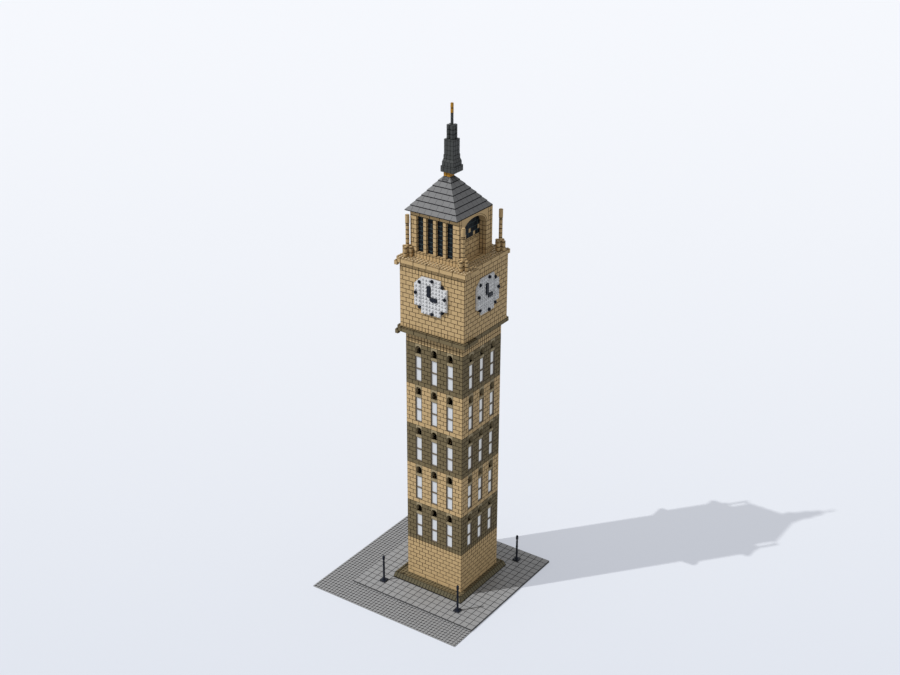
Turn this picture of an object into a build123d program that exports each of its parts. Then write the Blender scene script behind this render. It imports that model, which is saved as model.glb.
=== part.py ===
from build123d import *
import os

# Brick-built model of a clock tower, in millimetres, on its studded base plate.
# Origin: bottom centre of the base plate. +Z up. The front wall faces -Y.
# Everything follows the brick grid: a stud pitch in plan, plates and courses in height.

# ---- brick grid ----
stud = 8.0                  # stud pitch, which is also the thickness of a wall
plate = 3.2                 # height of a plate or a tile
brick = 3 * plate           # height of one course of bricks
small_sides = 16            # sides of the small round pieces and small arches

# ---- stand ----
base_studs = 48             # base plate, studs each way
base_thick = 1.6            # base plate sheet
margin_studs = 8            # bare studded strip beside the paving, on two sides
paving_thick = plate        # paving tiles

# ---- plinth ----
plinth_studs = 23           # plinth, studs each way at its foot
plinth_lip = 1.6            # upright edge below the slope
plinth_height = brick

# ---- shaft ----
shaft_studs = 18            # shaft, studs each way
base_courses = 10           # plain courses below the first stage
stage_courses = 10          # courses in a stage
stage_count = 5             # stages, one above the other
column_pitch = 5            # studs between window columns
column_count = 3            # window columns on a side
window_width = 2 * stud
window_courses = 3          # one window unit
window_first = 1            # course of a stage on which the lower window stands
arch_first = 8              # course of a stage on which the small arch stands
arch_jamb = 6.6             # upright part of the small arch
frame_side = 1.6            # bars of a window frame
frame_foot = 4.0
frame_head = 1.2
pane_recess = 1.6           # pane behind the frame's face

# ---- neck and cornices ----
neck_plates = 8             # plain band between the shaft's windows and the cornice
cornice_out = stud          # how far each cornice stands out from the clock room
cornice_height = brick
cornice_gap = 16 * stud     # stretch of the right side where the cornice does not stand out
corner_drop = 2 * plate     # how far the cornice's front left corner piece hangs lower

# ---- clock room ----
clock_studs = 20
clock_courses = 15
dial_studs = 10             # dial, studs each way
flank_studs = 2             # width of the short strip on each side of the dial's middle
flank_tall_studs = 6        # height of those strips
dial_thick = plate          # dial's middle in front of the wall
flank_thick = 1.5 * plate   # its side strips stand out a little more
dial_rise = 84.0            # dial centre above the foot of the clock room
marker_radius = 3.7
marker_thick = plate
long_hand = 3 * stud
short_hand = 2 * stud
hand_bridge = 0.05          # keeps the sockets of the two hands apart where their corners meet
tile_gap = 0.15             # tiles that make the hands, smaller by this all round

# ---- belfry ----
belfry_studs = 15
half_step = -0.5 * stud     # belfry, spire and plinth stand half a stud off the shaft's centre
sill_plates = 4
slot_courses = 8
lintel_height = brick
slot_count = 4
slot_width = 2 * stud
arch_depth = 2 * stud       # depth of the recess under a big arch
arch_studs = 10             # span of the big arch
arch_shift = -0.5 * stud    # the arch stands half a stud off the belfry's centre
arch_courses = 3            # height of the arch brick
arch_end = stud             # bearing of the arch brick on each pier
arch_rise = 7 * plate
screen_plates = 14          # tan screen wall at the foot of the recess

# ---- corner pinnacles ----
pinnacle_offset = 8.5 * stud
pinnacle_radius = 3.9
pinnacle_height = 28 * plate
pinnacle_cap = 6 * plate    # wider top piece
cap_radius = 4.4
cap_taper = 1.6
crown_radius = 3.9
crown_height = 7 * plate
crown_taper = 1.4
crown_gap = 0.2             # free gap between post and crown turrets

# ---- roof ----
roof_rows = 7
roof_top_studs = 2
roof_shift = -1.0 * stud
roof_lip = 1.6              # upright edge at the foot of each row of slopes

# ---- collar and spire ----
collar_studs = 2
collar_height = brick
spire_foot = 16.4           # half widths of the spire's tiers, from the foot up
spire_shoulder = 14.4
spire_waist = 12.2
spire_shaft = 11.4
spire_foot_rise = 12.8      # heights of the same tiers
spire_shoulder_rise = 8.0
spire_slope_rise = 6.4
spire_waist_rise = 8.0
spire_shaft_rise = 32.0
spire_head_radius = 4.1     # one of the four round stacks, which press into each other
spire_head_spread = stud    # distance between the stacks' axes
spire_head_rise = 28.8
spire_head_taper = 1.0
rod_radius = 3.0
rod_height = 22.4
finial_radius = 3.2
finial_height = 20.8

# ---- lamps ----
lamp_x = 12.5 * stud        # lamps either side of the shaft
lamp_y = 15.0 * stud
lamp_foot = 2 * stud
lamp_height = 62.4
lamp_flare = 18.0           # height of the flared lower part of a post
lamp_flare_radius = 4.6
lamp_post_radius = 2.0
lamp_head_radius = 3.4
lamp_head_height = 11.0

# ---- stack of levels ----
tower_x = margin_studs * stud / 2
tower_y = margin_studs * stud / 2
z_paving = base_thick
z_plinth = z_paving + paving_thick
z_shaft = z_plinth + plinth_height
z_stages = z_shaft + base_courses * brick
stage_height = stage_courses * brick
z_neck = z_stages + stage_count * stage_height
neck_height = neck_plates * plate
z_cornice = z_neck + neck_height
z_clock = z_cornice + cornice_height
z_upper = z_clock + clock_courses * brick
z_terrace = z_upper + cornice_height
sill_height = sill_plates * plate
slot_height = slot_courses * brick
belfry_height = sill_height + slot_height + lintel_height
z_roof = z_terrace + belfry_height
z_collar = z_roof + roof_rows * brick
z_spire = z_collar + collar_height

shaft_half = shaft_studs * stud / 2
clock_half = clock_studs * stud / 2
belfry_half = belfry_studs * stud / 2

low = (Align.CENTER, Align.CENTER, Align.MIN)
foot_edge = (Align.CENTER, Align.MIN)
axis = Pos(tower_x, tower_y, 0)
off_axis = Pos(tower_x + half_step, tower_y + half_step, 0)
sides = ("front", "right", "back", "left")
parts = {}


def around(solid, quarter):
    """Turn a piece made for the front side to another side of the tower."""
    return axis * (Rot(0, 0, 90 * quarter) * solid)


def side_panel(sketch, depth, face):
    """Stand a sketch up as a panel whose outer face is at y = -face."""
    return Pos(0, -face, 0) * (Rot(90, 0, 0) * extrude(sketch, -depth))


def both_ways(outline):
    """Solid that shows the same symmetric outline from the front and from the side."""
    reach = max(x for x, z in outline)
    closed = outline + [(-x, z) for x, z in reversed(outline)]
    front = extrude(make_face(Plane.XZ * Polyline(*closed, close=True)), reach, both=True)
    return front & (Rot(0, 0, 90) * front)


# ---- stand ----
plate_side = base_studs * stud
parts["base_plate"] = Box(plate_side, plate_side, base_thick, align=low)
paved = plate_side - margin_studs * stud
parts["plaza_paving"] = Pos(tower_x, tower_y, z_paving) * Box(paved, paved, paving_thick, align=low)

# ---- plinth: sloped to the front and to the right, upright on the other two sides ----
plinth_half = plinth_studs * stud / 2
slope_line = [(-plinth_half, 0), (-plinth_half, plinth_lip), (stud - plinth_half, plinth_height)]
slope_line += [(plinth_half, plinth_height), (plinth_half, 0)]
slope_face = make_face(Plane.YZ * Polyline(*slope_line, close=True))
sloped_front = extrude(slope_face, plinth_half, both=True)
sloped_right = Rot(0, 0, 90) * sloped_front
parts["plinth_skirt"] = off_axis * (Pos(0, 0, z_plinth) * (sloped_front & sloped_right))


# ---- shaft walls, with window columns and small arches cut through ----
def column_centres():
    """Sideways places of the window columns of one side."""
    pitch = column_pitch * stud
    first = -pitch * (column_count - 1) / 2
    return [first + pitch * k for k in range(column_count)]


def stage_floors():
    """Height of the foot of each stage."""
    return [z_stages + stage_height * k for k in range(stage_count)]


def small_arch(span, jamb):
    """Outline of a small round-topped opening that stands on its sill."""
    upright = Rectangle(span, jamb, align=foot_edge)
    above = Rectangle(span, span, align=foot_edge)
    return upright + Pos(0, jamb) * (RegularPolygon(span / 2, small_sides) & above)


def wall_sketch(width):
    """One side of the shaft, drawn flat, with all its openings."""
    sketch = Pos(0, z_shaft) * Rectangle(width, z_neck - z_shaft, align=foot_edge)
    glazed = Rectangle(window_width, 2 * window_courses * brick, align=foot_edge)
    opening = small_arch(window_width, arch_jamb)
    for floor in stage_floors():
        for x in column_centres():
            sketch -= Pos(x, floor + window_first * brick) * glazed
            sketch -= Pos(x, floor + arch_first * brick) * opening
    return sketch


wide_wall = side_panel(wall_sketch(2 * shaft_half), stud, shaft_half)
narrow_wall = side_panel(wall_sketch(2 * (shaft_half - stud)), stud, shaft_half)
for quarter, side in enumerate(sides):
    parts[side + "_wall"] = around(narrow_wall if quarter % 2 else wide_wall, quarter)


# ---- windows: two stacked frames in one piece, with recessed panes ----
def window_pair():
    """A stacked pair of window frames with their panes, standing at z = 0."""
    unit = window_courses * brick
    frame = Box(window_width, stud, 2 * unit, align=(Align.CENTER, Align.MAX, Align.MIN))
    pane_wide = window_width - 2 * frame_side
    pane_tall = unit - frame_foot - frame_head
    pocket = Box(pane_wide, pane_recess, pane_tall, align=(Align.CENTER, Align.MIN, Align.MIN))
    for k in range(2):
        frame -= Pos(0, -stud, k * unit + frame_foot) * pocket
    return frame


one_pair = window_pair()
pair_places = []
for floor in stage_floors():
    for x in column_centres():
        pair_places.append(Pos(x, stud - shaft_half, floor + window_first * brick))
for quarter, side in enumerate(sides):
    glazing = [around(place * one_pair, quarter) for place in pair_places]
    parts[side + "_windows"] = Compound(glazing)

# ---- neck ----
neck = Box(2 * shaft_half, 2 * shaft_half, neck_height, align=low)
parts["neck_band"] = axis * (Pos(0, 0, z_neck) * neck)


# ---- cornices ----
def cornice():
    """One cornice: flush along the right side's far stretch, one corner piece hung lower."""
    wide = 2 * (clock_half + cornice_out)
    corner = wide / 2
    slab = Box(wide, wide, cornice_height, align=low)
    flush = Box(cornice_out, cornice_gap, cornice_height, align=(Align.MAX, Align.MAX, Align.MIN))
    slab -= Pos(corner, corner, 0) * flush
    notch = Box(cornice_out, cornice_out, cornice_height, align=(Align.MIN, Align.MIN, Align.MIN))
    slab -= Pos(-corner, -corner, 0) * notch
    return slab + Pos(-corner, -corner, -corner_drop) * notch


parts["lower_cornice"] = axis * (Pos(0, 0, z_cornice) * cornice())
parts["upper_cornice"] = axis * (Pos(0, 0, z_upper) * cornice())

# ---- clock room ----
room_height = clock_courses * brick
wide_room = Pos(0, z_clock) * Rectangle(2 * clock_half, room_height, align=foot_edge)
narrow_room = Pos(0, z_clock) * Rectangle(2 * (clock_half - stud), room_height, align=foot_edge)
for quarter, side in enumerate(sides):
    panel = side_panel(narrow_room if quarter % 2 else wide_room, stud, clock_half)
    parts["clock_" + side + "_wall"] = around(panel, quarter)


# ---- dials: a middle, two side strips and a wedge, with the hands let in flush ----
def hand_sketch(gap):
    """Two hands that show three o'clock, drawn smaller by a gap all round."""
    tall = Rectangle(stud - 2 * gap, long_hand - 2 * gap, align=foot_edge)
    wide = Rectangle(short_hand - 2 * gap, stud - 2 * gap, align=(Align.MIN, Align.MAX))
    return [Pos(-stud / 2, gap) * tall, Pos(gap, -gap) * wide]


z_dial = z_clock + dial_rise
centre = Pos(0, z_dial)
middle_wide = (dial_studs - 2 * flank_studs) * stud
middle = Rectangle(middle_wide, dial_studs * stud)
for hand in hand_sketch(hand_bridge):
    middle -= hand
dial = side_panel(centre * middle, dial_thick, clock_half + dial_thick)
flank_x = (middle_wide + flank_studs * stud) / 2
for x in (-flank_x, flank_x):
    strip = centre * (Pos(x, 0) * Rectangle(flank_studs * stud, flank_tall_studs * stud))
    dial += side_panel(strip, flank_thick, clock_half + flank_thick)
wedge_tall = (dial_studs - flank_tall_studs) * stud / 2
wedge = Polygon((-flank_studs * stud, 0), (0, 0), (0, wedge_tall), align=None)
wedge = centre * (Pos(-middle_wide / 2, flank_tall_studs * stud / 2) * wedge)
dial += side_panel(wedge, dial_thick, clock_half + dial_thick)
hands = [side_panel(centre * hand, dial_thick, clock_half + dial_thick) for hand in hand_sketch(tile_gap)]

# Eight round hour markers: three in corners on the wall, one on the wedge, four on the dial itself.
far = (dial_studs - 1) / 2
near_u = dial_studs / 2 - flank_studs + 0.5
near_v = flank_tall_studs / 2 + 0.5
marker_grid = [(u, v, 0, flank_thick) for u, v in ((near_u, near_v), (near_u, -near_v), (-near_u, -near_v))]
marker_grid += [(-near_u, near_v, dial_thick, flank_thick - dial_thick)]
marker_grid += [(0.5, far, dial_thick, marker_thick), (0.5, -far, dial_thick, marker_thick)]
marker_grid += [(far, 0.5, flank_thick, marker_thick), (-far, 0.5, flank_thick, marker_thick)]
markers = []
for u, v, foot, thick in marker_grid:
    spot = centre * (Pos(u * stud, v * stud) * RegularPolygon(marker_radius, small_sides))
    markers.append(side_panel(spot, thick, clock_half + foot + thick))
for quarter, side in enumerate(sides):
    parts["clock_dial_" + side] = around(dial, quarter)
parts["hour_markers"] = Compound([around(m, q) for q in range(4) for m in markers])
parts["clock_hands"] = Compound([around(h, q) for q in range(4) for h in hands])

# ---- belfry: slotted front and back, a deep arched recess right and left ----
belfry_at = off_axis * Pos(0, 0, z_terrace)
slot_pitch = slot_width + stud
bay = slot_count * slot_width + (slot_count - 1) * stud
face_sketch = Rectangle(2 * belfry_half, belfry_height, align=foot_edge)
face_sketch -= Pos(0, sill_height) * Rectangle(bay, slot_height, align=foot_edge)
slotted = side_panel(face_sketch, stud, belfry_half)
parts["belfry_front_wall"] = belfry_at * slotted
parts["belfry_back_wall"] = belfry_at * (Rot(0, 0, 180) * slotted)

column = Box(stud, stud, slot_height, align=low)
columns = []
for k in range(slot_count - 1):
    x = (k - (slot_count - 2) / 2) * slot_pitch
    for y in (stud / 2 - belfry_half, belfry_half - stud / 2):
        columns.append(belfry_at * (Pos(x, y, sill_height) * column))
parts["belfry_columns"] = Compound(columns)

# The arched side: two piers, and an arch brick that bears on both.
arch_span = arch_studs * stud
arch_foot = belfry_height - arch_courses * brick
arched_width = 2 * (belfry_half - stud)
pier_sketch = Rectangle(arched_width, belfry_height, align=foot_edge)
pier_sketch -= Pos(arch_shift, 0) * Rectangle(arch_span, arch_foot, align=foot_edge)
bearing = Rectangle(arch_span + 2 * arch_end, belfry_height, align=foot_edge)
pier_sketch -= Pos(arch_shift, arch_foot) * bearing
half_round = Ellipse(arch_span / 2, arch_rise) & Rectangle(arch_span, arch_rise, align=foot_edge)
arch_brick = Rectangle(arch_span + 2 * arch_end, arch_courses * brick, align=foot_edge)
arch_sketch = Pos(arch_shift, arch_foot) * (arch_brick - half_round)
piers = side_panel(pier_sketch, arch_depth, belfry_half)
arch = side_panel(arch_sketch, arch_depth, belfry_half)

# Behind the recess, a tan screen wall, and above it the black lining of the belfry.
screen_height = screen_plates * plate
screen_face = belfry_half - arch_depth
screen_sketch = Pos(arch_shift, 0) * Rectangle(arch_span, screen_height, align=foot_edge)
screen = side_panel(screen_sketch, stud, screen_face)
turned = Rot(0, 0, 90)
mirrored = Plane.YZ
for name, solid in (("wall", piers), ("arch", arch), ("screen", screen)):
    right = turned * solid
    parts["belfry_right_" + name] = belfry_at * right
    parts["belfry_left_" + name] = belfry_at * mirror(right, mirrored)

lining_x = 2 * screen_face
lining_y = 2 * (belfry_half - stud)
lining_height = belfry_height - screen_height
lining = Box(lining_x, lining_y, lining_height, align=low)
lining -= Box(lining_x - 2 * stud, lining_y - 2 * stud, lining_height, align=low)
low_panel = Box(lining_x, stud, screen_height, align=(Align.CENTER, Align.MIN, Align.MIN))
lining = Pos(0, 0, screen_height) * lining
lining += Pos(0, -lining_y / 2, 0) * low_panel
lining += Rot(0, 0, 180) * (Pos(0, -lining_y / 2, 0) * low_panel)
parts["belfry_lining"] = belfry_at * lining

# ---- corner pinnacles, each in a crown of four small turrets ----
def peg(radius, height, bevel):
    """Upright round piece with a bevelled rim, drawn with few sides."""
    stem = extrude(RegularPolygon(radius, small_sides), height - bevel)
    rim = Pos(0, 0, height - bevel) * RegularPolygon(radius, small_sides)
    return stem + extrude(rim, bevel, taper=45)


shaft_top = pinnacle_height - pinnacle_cap
post = extrude(RegularPolygon(pinnacle_radius, small_sides), shaft_top)
post += Pos(0, 0, shaft_top) * peg(cap_radius, pinnacle_cap, cap_taper)
turret = peg(crown_radius, crown_height, crown_taper)
reach = pinnacle_radius + crown_radius + crown_gap
crown_places = ((reach, 0), (-reach, 0), (0, reach), (0, -reach))
posts = []
turrets = []
for sx in (-1, 1):
    for sy in (-1, 1):
        at = axis * Pos(sx * pinnacle_offset, sy * pinnacle_offset, z_terrace)
        posts.append(at * post)
        turrets += [at * (Pos(dx, dy, 0) * turret) for dx, dy in crown_places]
parts["pinnacle_posts"] = Compound(posts)
parts["pinnacle_turrets"] = Compound(turrets)

# ---- roof: rows of 45 degree slopes, each a stud in from the row below ----
roof_outline = []
for row in range(roof_rows):
    half = (roof_top_studs / 2 + roof_rows - row) * stud
    roof_outline += [(half, row * brick), (half, row * brick + roof_lip)]
roof_outline.append((roof_top_studs * stud / 2, roof_rows * brick))
roof_axis = Pos(tower_x + roof_shift, tower_y + roof_shift, 0)
parts["roof"] = roof_axis * (Pos(0, 0, z_roof) * both_ways(roof_outline))

# ---- collar and spire ----
collar = Box(collar_studs * stud, collar_studs * stud, collar_height, align=low)
parts["gold_collar"] = roof_axis * (Pos(0, 0, z_collar) * collar)
spire_at = off_axis * Pos(0, 0, z_spire)

shoulder_z = spire_foot_rise
slope_z = shoulder_z + spire_shoulder_rise
waist_z = slope_z + spire_slope_rise
shaft_z = waist_z + spire_waist_rise
head_z = shaft_z + spire_shaft_rise
rod_z = head_z + spire_head_rise
finial_z = rod_z + rod_height
base_line = [(spire_foot, 0), (spire_foot, shoulder_z), (spire_shoulder, shoulder_z)]
base_line += [(spire_shoulder, slope_z), (spire_waist, waist_z)]
body_line = [(spire_waist, waist_z), (spire_waist, shaft_z), (spire_shaft, shaft_z)]
body_line += [(spire_shaft, head_z)]
parts["spire_base"] = spire_at * both_ways(base_line)
parts["spire_body"] = spire_at * both_ways(body_line)
head = Box(spire_head_spread, spire_head_spread, spire_head_rise, align=low)
for sx in (-1, 1):
    for sy in (-1, 1):
        stack = peg(spire_head_radius, spire_head_rise, spire_head_taper)
        head += Pos(sx * spire_head_spread / 2, sy * spire_head_spread / 2, 0) * stack
rod = extrude(RegularPolygon(rod_radius, small_sides), rod_height)
finial = extrude(RegularPolygon(finial_radius, small_sides), finial_height)
parts["spire_head"] = spire_at * (Pos(0, 0, head_z) * head)
parts["spire_rod"] = spire_at * (Pos(0, 0, rod_z) * rod)
parts["finial"] = spire_at * (Pos(0, 0, finial_z) * finial)

# ---- lamps on the paving ----
post_top = lamp_height - lamp_head_height
flare = Pos(0, 0, plate) * RegularPolygon(lamp_flare_radius, small_sides)
flare_top = Pos(0, 0, plate + lamp_flare) * RegularPolygon(lamp_post_radius, small_sides)
slim = extrude(flare_top, post_top - plate - lamp_flare)
lamp_post = loft([flare, flare_top], ruled=True) + slim
lantern = extrude(Pos(0, 0, post_top) * RegularPolygon(lamp_head_radius, small_sides), lamp_head_height)
lamp_pad = Box(lamp_foot, lamp_foot, plate, align=low)
spots = []
for sx in (-1, 1):
    for sy in (-1, 1):
        spots.append(Pos(tower_x + half_step + sx * lamp_x, tower_y + sy * lamp_y, z_plinth))
parts["lamp_feet"] = Compound([at * lamp_pad for at in spots])
parts["lamp_posts"] = Compound([at * lamp_post for at in spots])
parts["lamp_heads"] = Compound([at * lantern for at in spots])

os.makedirs("parts", exist_ok=True)
for name, shape in parts.items():
    export_step(shape, os.path.join("parts", name + ".step"))
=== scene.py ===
"""Dressing of a brick-built clock tower.

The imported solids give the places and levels. Every brick, tile, slope and stud that shows is
laid here as a piece of its own, course by course, the way such a model is put together.
"""

from __future__ import annotations

import logging
import math
import random
from contextlib import contextmanager
from dataclasses import dataclass, field
from enum import Enum
from functools import partial
from typing import Any, Callable, Iterable, Iterator

import bmesh
import bpy
from bpy.types import Material, Object
from mathutils import Euler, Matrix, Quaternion, Vector

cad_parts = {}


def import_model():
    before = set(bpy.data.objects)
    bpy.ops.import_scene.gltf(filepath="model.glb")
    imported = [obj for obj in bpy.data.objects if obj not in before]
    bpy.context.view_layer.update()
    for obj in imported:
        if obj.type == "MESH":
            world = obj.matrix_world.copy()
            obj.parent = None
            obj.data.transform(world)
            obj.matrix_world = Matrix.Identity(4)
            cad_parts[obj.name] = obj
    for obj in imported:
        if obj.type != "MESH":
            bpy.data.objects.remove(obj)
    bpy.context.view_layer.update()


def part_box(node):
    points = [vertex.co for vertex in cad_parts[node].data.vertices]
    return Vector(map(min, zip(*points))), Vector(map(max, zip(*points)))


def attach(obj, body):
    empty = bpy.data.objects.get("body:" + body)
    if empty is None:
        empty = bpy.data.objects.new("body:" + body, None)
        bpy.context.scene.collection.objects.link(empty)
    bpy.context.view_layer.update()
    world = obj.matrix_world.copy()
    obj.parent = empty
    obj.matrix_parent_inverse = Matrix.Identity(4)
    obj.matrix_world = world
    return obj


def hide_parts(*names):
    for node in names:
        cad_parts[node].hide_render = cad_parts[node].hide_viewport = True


LOG = logging.getLogger("clock_tower")
MM = 0.001
STUD = 8.0 * MM
PLATE = 3.2 * MM
BRICK = 9.6 * MM
GAP = 0.1 * MM
HAIR = 0.0001 * MM
EDGE = 0.6 * MM
WIDE_EDGE = 0.75 * MM
FINE_EDGE = 0.25 * MM
QUARTER = math.pi / 2
ROUND_SIDES = 16
KNOB_SIDES = 12
ARCH_SIDES = 40
CORNERS = ((-1, -1), (-1, 1), (1, -1), (1, 1))
DICE = random.Random(704)

Colour = tuple[float, float, float]
Span = tuple[float, float]
Test = Callable[[Any], bool]


# ---------------------------------------------------------------- shader maths
@dataclass
class Wire:
    """A number or colour socket that takes part in Python expressions."""

    graph: Graph
    socket: Any

    def _math(self, operation: str, first: Any, second: Any) -> Wire:
        """Add one Math node."""
        return self.graph.node("ShaderNodeMath", {"operation": operation}, [first, second])

    def __add__(self, other: Any) -> Wire:
        """Sum of two values."""
        return self._math("ADD", self, other)

    def __sub__(self, other: Any) -> Wire:
        """Difference of two values."""
        return self._math("SUBTRACT", self, other)

    def __rsub__(self, other: Any) -> Wire:
        """Difference with the wire on the right."""
        return self._math("SUBTRACT", other, self)

    def __mul__(self, other: Any) -> Wire:
        """Product of two values."""
        return self._math("MULTIPLY", self, other)

    def __rpow__(self, base: float) -> Wire:
        """A number raised to the wire's power."""
        return self._math("POWER", base, self)

    def __or__(self, other: Wire) -> Wire:
        """The larger of two values."""
        return self._math("MAXIMUM", self, other)

    __radd__ = __add__


class Graph:
    """The nodes of a material, a world or a modifier, and the one method that adds them."""

    def __init__(self, owner: Any) -> None:
        """Start with no nodes.

        Args:
            owner: The new material or world, or a modifier's node group.
        """
        if not isinstance(owner, bpy.types.NodeTree):
            owner.use_nodes = True
        self.owner = owner
        self.tree = getattr(owner, "node_tree", owner)
        self.tree.nodes.clear()

    def node(self, kind: str, settings: dict[str, Any], inputs: Any, output: int | str = 0) -> Wire:
        """Add a node, set it up and wire it.

        Args:
            kind: Blender's name of the node type.
            settings: Attributes of the node, set before its sockets.
            inputs: Values or wires, as a list in socket order or a dict by socket name or number.
            output: The output socket to return.

        Returns:
            The chosen output as a wire.
        """
        made = self.tree.nodes.new(kind)
        for key, value in settings.items():
            setattr(made, key, value)
        pairs = inputs.items() if isinstance(inputs, dict) else enumerate(inputs)
        for key, value in pairs:
            if isinstance(value, Wire):
                self.tree.links.new(value.socket, made.inputs[key])
            else:
                made.inputs[key].default_value = value
        return Wire(self, made.outputs[output] if made.outputs else None)

    def attribute(self, name: str) -> Wire:
        """Read a named number that the mesh carries."""
        return self.node("ShaderNodeAttribute", {"attribute_name": name}, {}, "Fac")

    def noise(self, scale: float, detail: float) -> Wire:
        """Noise over the piece's own coordinates.

        Args:
            scale: Waves in a metre.
            detail: Number of finer layers.

        Returns:
            The noise, about one half on average.
        """
        place = self.node("ShaderNodeTexCoord", {}, {}, "Object")
        inputs = {"Vector": place, "Scale": scale, "Detail": detail}
        return self.node("ShaderNodeTexNoise", {"noise_dimensions": "3D"}, inputs)

    def blend(self, share: Any, first: Any, second: Any, mode: str = "MIX") -> Wire:
        """Mix two colours.

        Args:
            share: Share of the second colour.
            first: First colour or wire.
            second: Second colour or wire.
            mode: Way of mixing.

        Returns:
            The mixed colour.
        """
        first, second = (part if isinstance(part, Wire) else (*part, 1.0) for part in (first, second))
        settings = {"data_type": "RGBA", "blend_type": mode}
        return self.node("ShaderNodeMix", settings, {0: share, 6: first, 7: second}, 2)

    def toned(self, colour: Colour, tone: Wire) -> Wire:
        """A colour made lighter or darker by a number."""
        grey = self.node("ShaderNodeCombineColor", {}, [tone, tone, tone])
        return self.blend(1.0, colour, grey, "MULTIPLY")

    def seen(self) -> Wire:
        """One for a ray that shows the studio itself, straight, mirrored or through glass.

        Returns:
            The number.
        """
        rays = ("Is Camera Ray", "Is Glossy Ray", "Is Transmission Ray")
        straight, mirrored, through = (self.node("ShaderNodeLightPath", {}, {}, ray) for ray in rays)
        return straight | mirrored | through

    def surface(self, inputs: dict[str, Any]) -> Material:
        """Close the graph with a Principled surface.

        Args:
            inputs: Values or wires of the surface's sockets.

        Returns:
            The finished material.
        """
        shader = self.node("ShaderNodeBsdfPrincipled", {}, inputs)
        self.node("ShaderNodeOutputMaterial", {}, {"Surface": shader})
        return self.owner


# ---------------------------------------------------------------- finishes
@dataclass(frozen=True)
class Ripple:
    """Unevenness of a surface, as much above nothing as below it."""

    waves: float
    layers: float
    depth: float

    def on(self, graph: Graph) -> Wire:
        """The unevenness, as a number in a graph."""
        return (graph.noise(self.waves, self.layers) - 0.5) * self.depth


FLOW = Ripple(45.0, 1.0, 0.07)
RUB = Ripple(160.0, 3.0, 0.16)
CLOUD = Ripple(70.0, 2.0, 0.06)
HAZE = Ripple(200.0, 2.0, 0.1)
GRIT_WAVES = 650.0
GRAIN_WAVES = 1400.0
GRAIN_STRENGTH = 0.05
GRAIN_DEPTH = 0.05 * MM


@dataclass(frozen=True)
class Moulded:
    """Moulded plastic of one colour, with the line of shade that shows along every joint."""

    label: str
    slot: str
    colour: Colour
    joint: Colour
    gloss: float = 0.15
    roughness: float = 0.36
    spread: float = 0.06
    metallic: float = 0.0
    grit: float = 0.0
    joint_roughness: float = 0.2

    def material(self) -> Material:
        """Build the plastic: brick to brick tone, flow marks, fine mould grain and joint lines.

        Returns:
            The material.
        """
        graph = Graph(bpy.data.materials.new(f"{self.label}_plastic"))
        tone = 1.0 + (graph.attribute("tint") - 0.5) * self.spread + FLOW.on(graph)
        if self.grit:
            tone = tone + Ripple(GRIT_WAVES, 2.0, self.grit).on(graph)
        # The joint mark darkens the joint lines, and also carries painted shade on the upright sides of studs
        # and paving tiles.
        joint = graph.attribute("joint")
        height = graph.noise(GRAIN_WAVES, 1.0)
        grain = {"Strength": GRAIN_STRENGTH, "Distance": GRAIN_DEPTH, "Height": height}
        return graph.surface(
            {
                "Base Color": graph.blend(joint, graph.toned(self.colour, tone), self.joint),
                "Roughness": self.roughness + RUB.on(graph) + joint * self.joint_roughness,
                "Metallic": self.metallic,
                "Specular IOR Level": self.gloss,
                "Normal": graph.node("ShaderNodeBump", {}, grain, "Normal"),
            }
        )


@dataclass(frozen=True)
class Pane:
    """Pale clouded window plastic, with a painted glow that keeps it as bright in shade as in sun."""

    label: str
    slot: str
    colour: Colour
    joint: Colour
    glow: Colour
    gloss: float = 0.3
    roughness: float = 0.21
    coat: float = 0.15

    def material(self) -> Material:
        """Build the pane: a smooth pale face with a faint cloud, a painted glow and a darker rim.

        Returns:
            The material.
        """
        graph = Graph(bpy.data.materials.new(f"{self.label}_plastic"))
        face = graph.toned(self.colour, 1.0 + CLOUD.on(graph))
        joint = graph.attribute("joint")
        return graph.surface(
            {
                "Base Color": graph.blend(joint, face, self.joint),
                "Roughness": self.roughness + HAZE.on(graph),
                "Coat Weight": self.coat - joint * self.coat,
                "Specular IOR Level": self.gloss,
                # Painted light: the pane's face glows and its rim does not.
                "Emission Color": graph.blend(joint, self.glow, (0, 0, 0)),
                "Emission Strength": 1.0,
            }
        )


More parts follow.
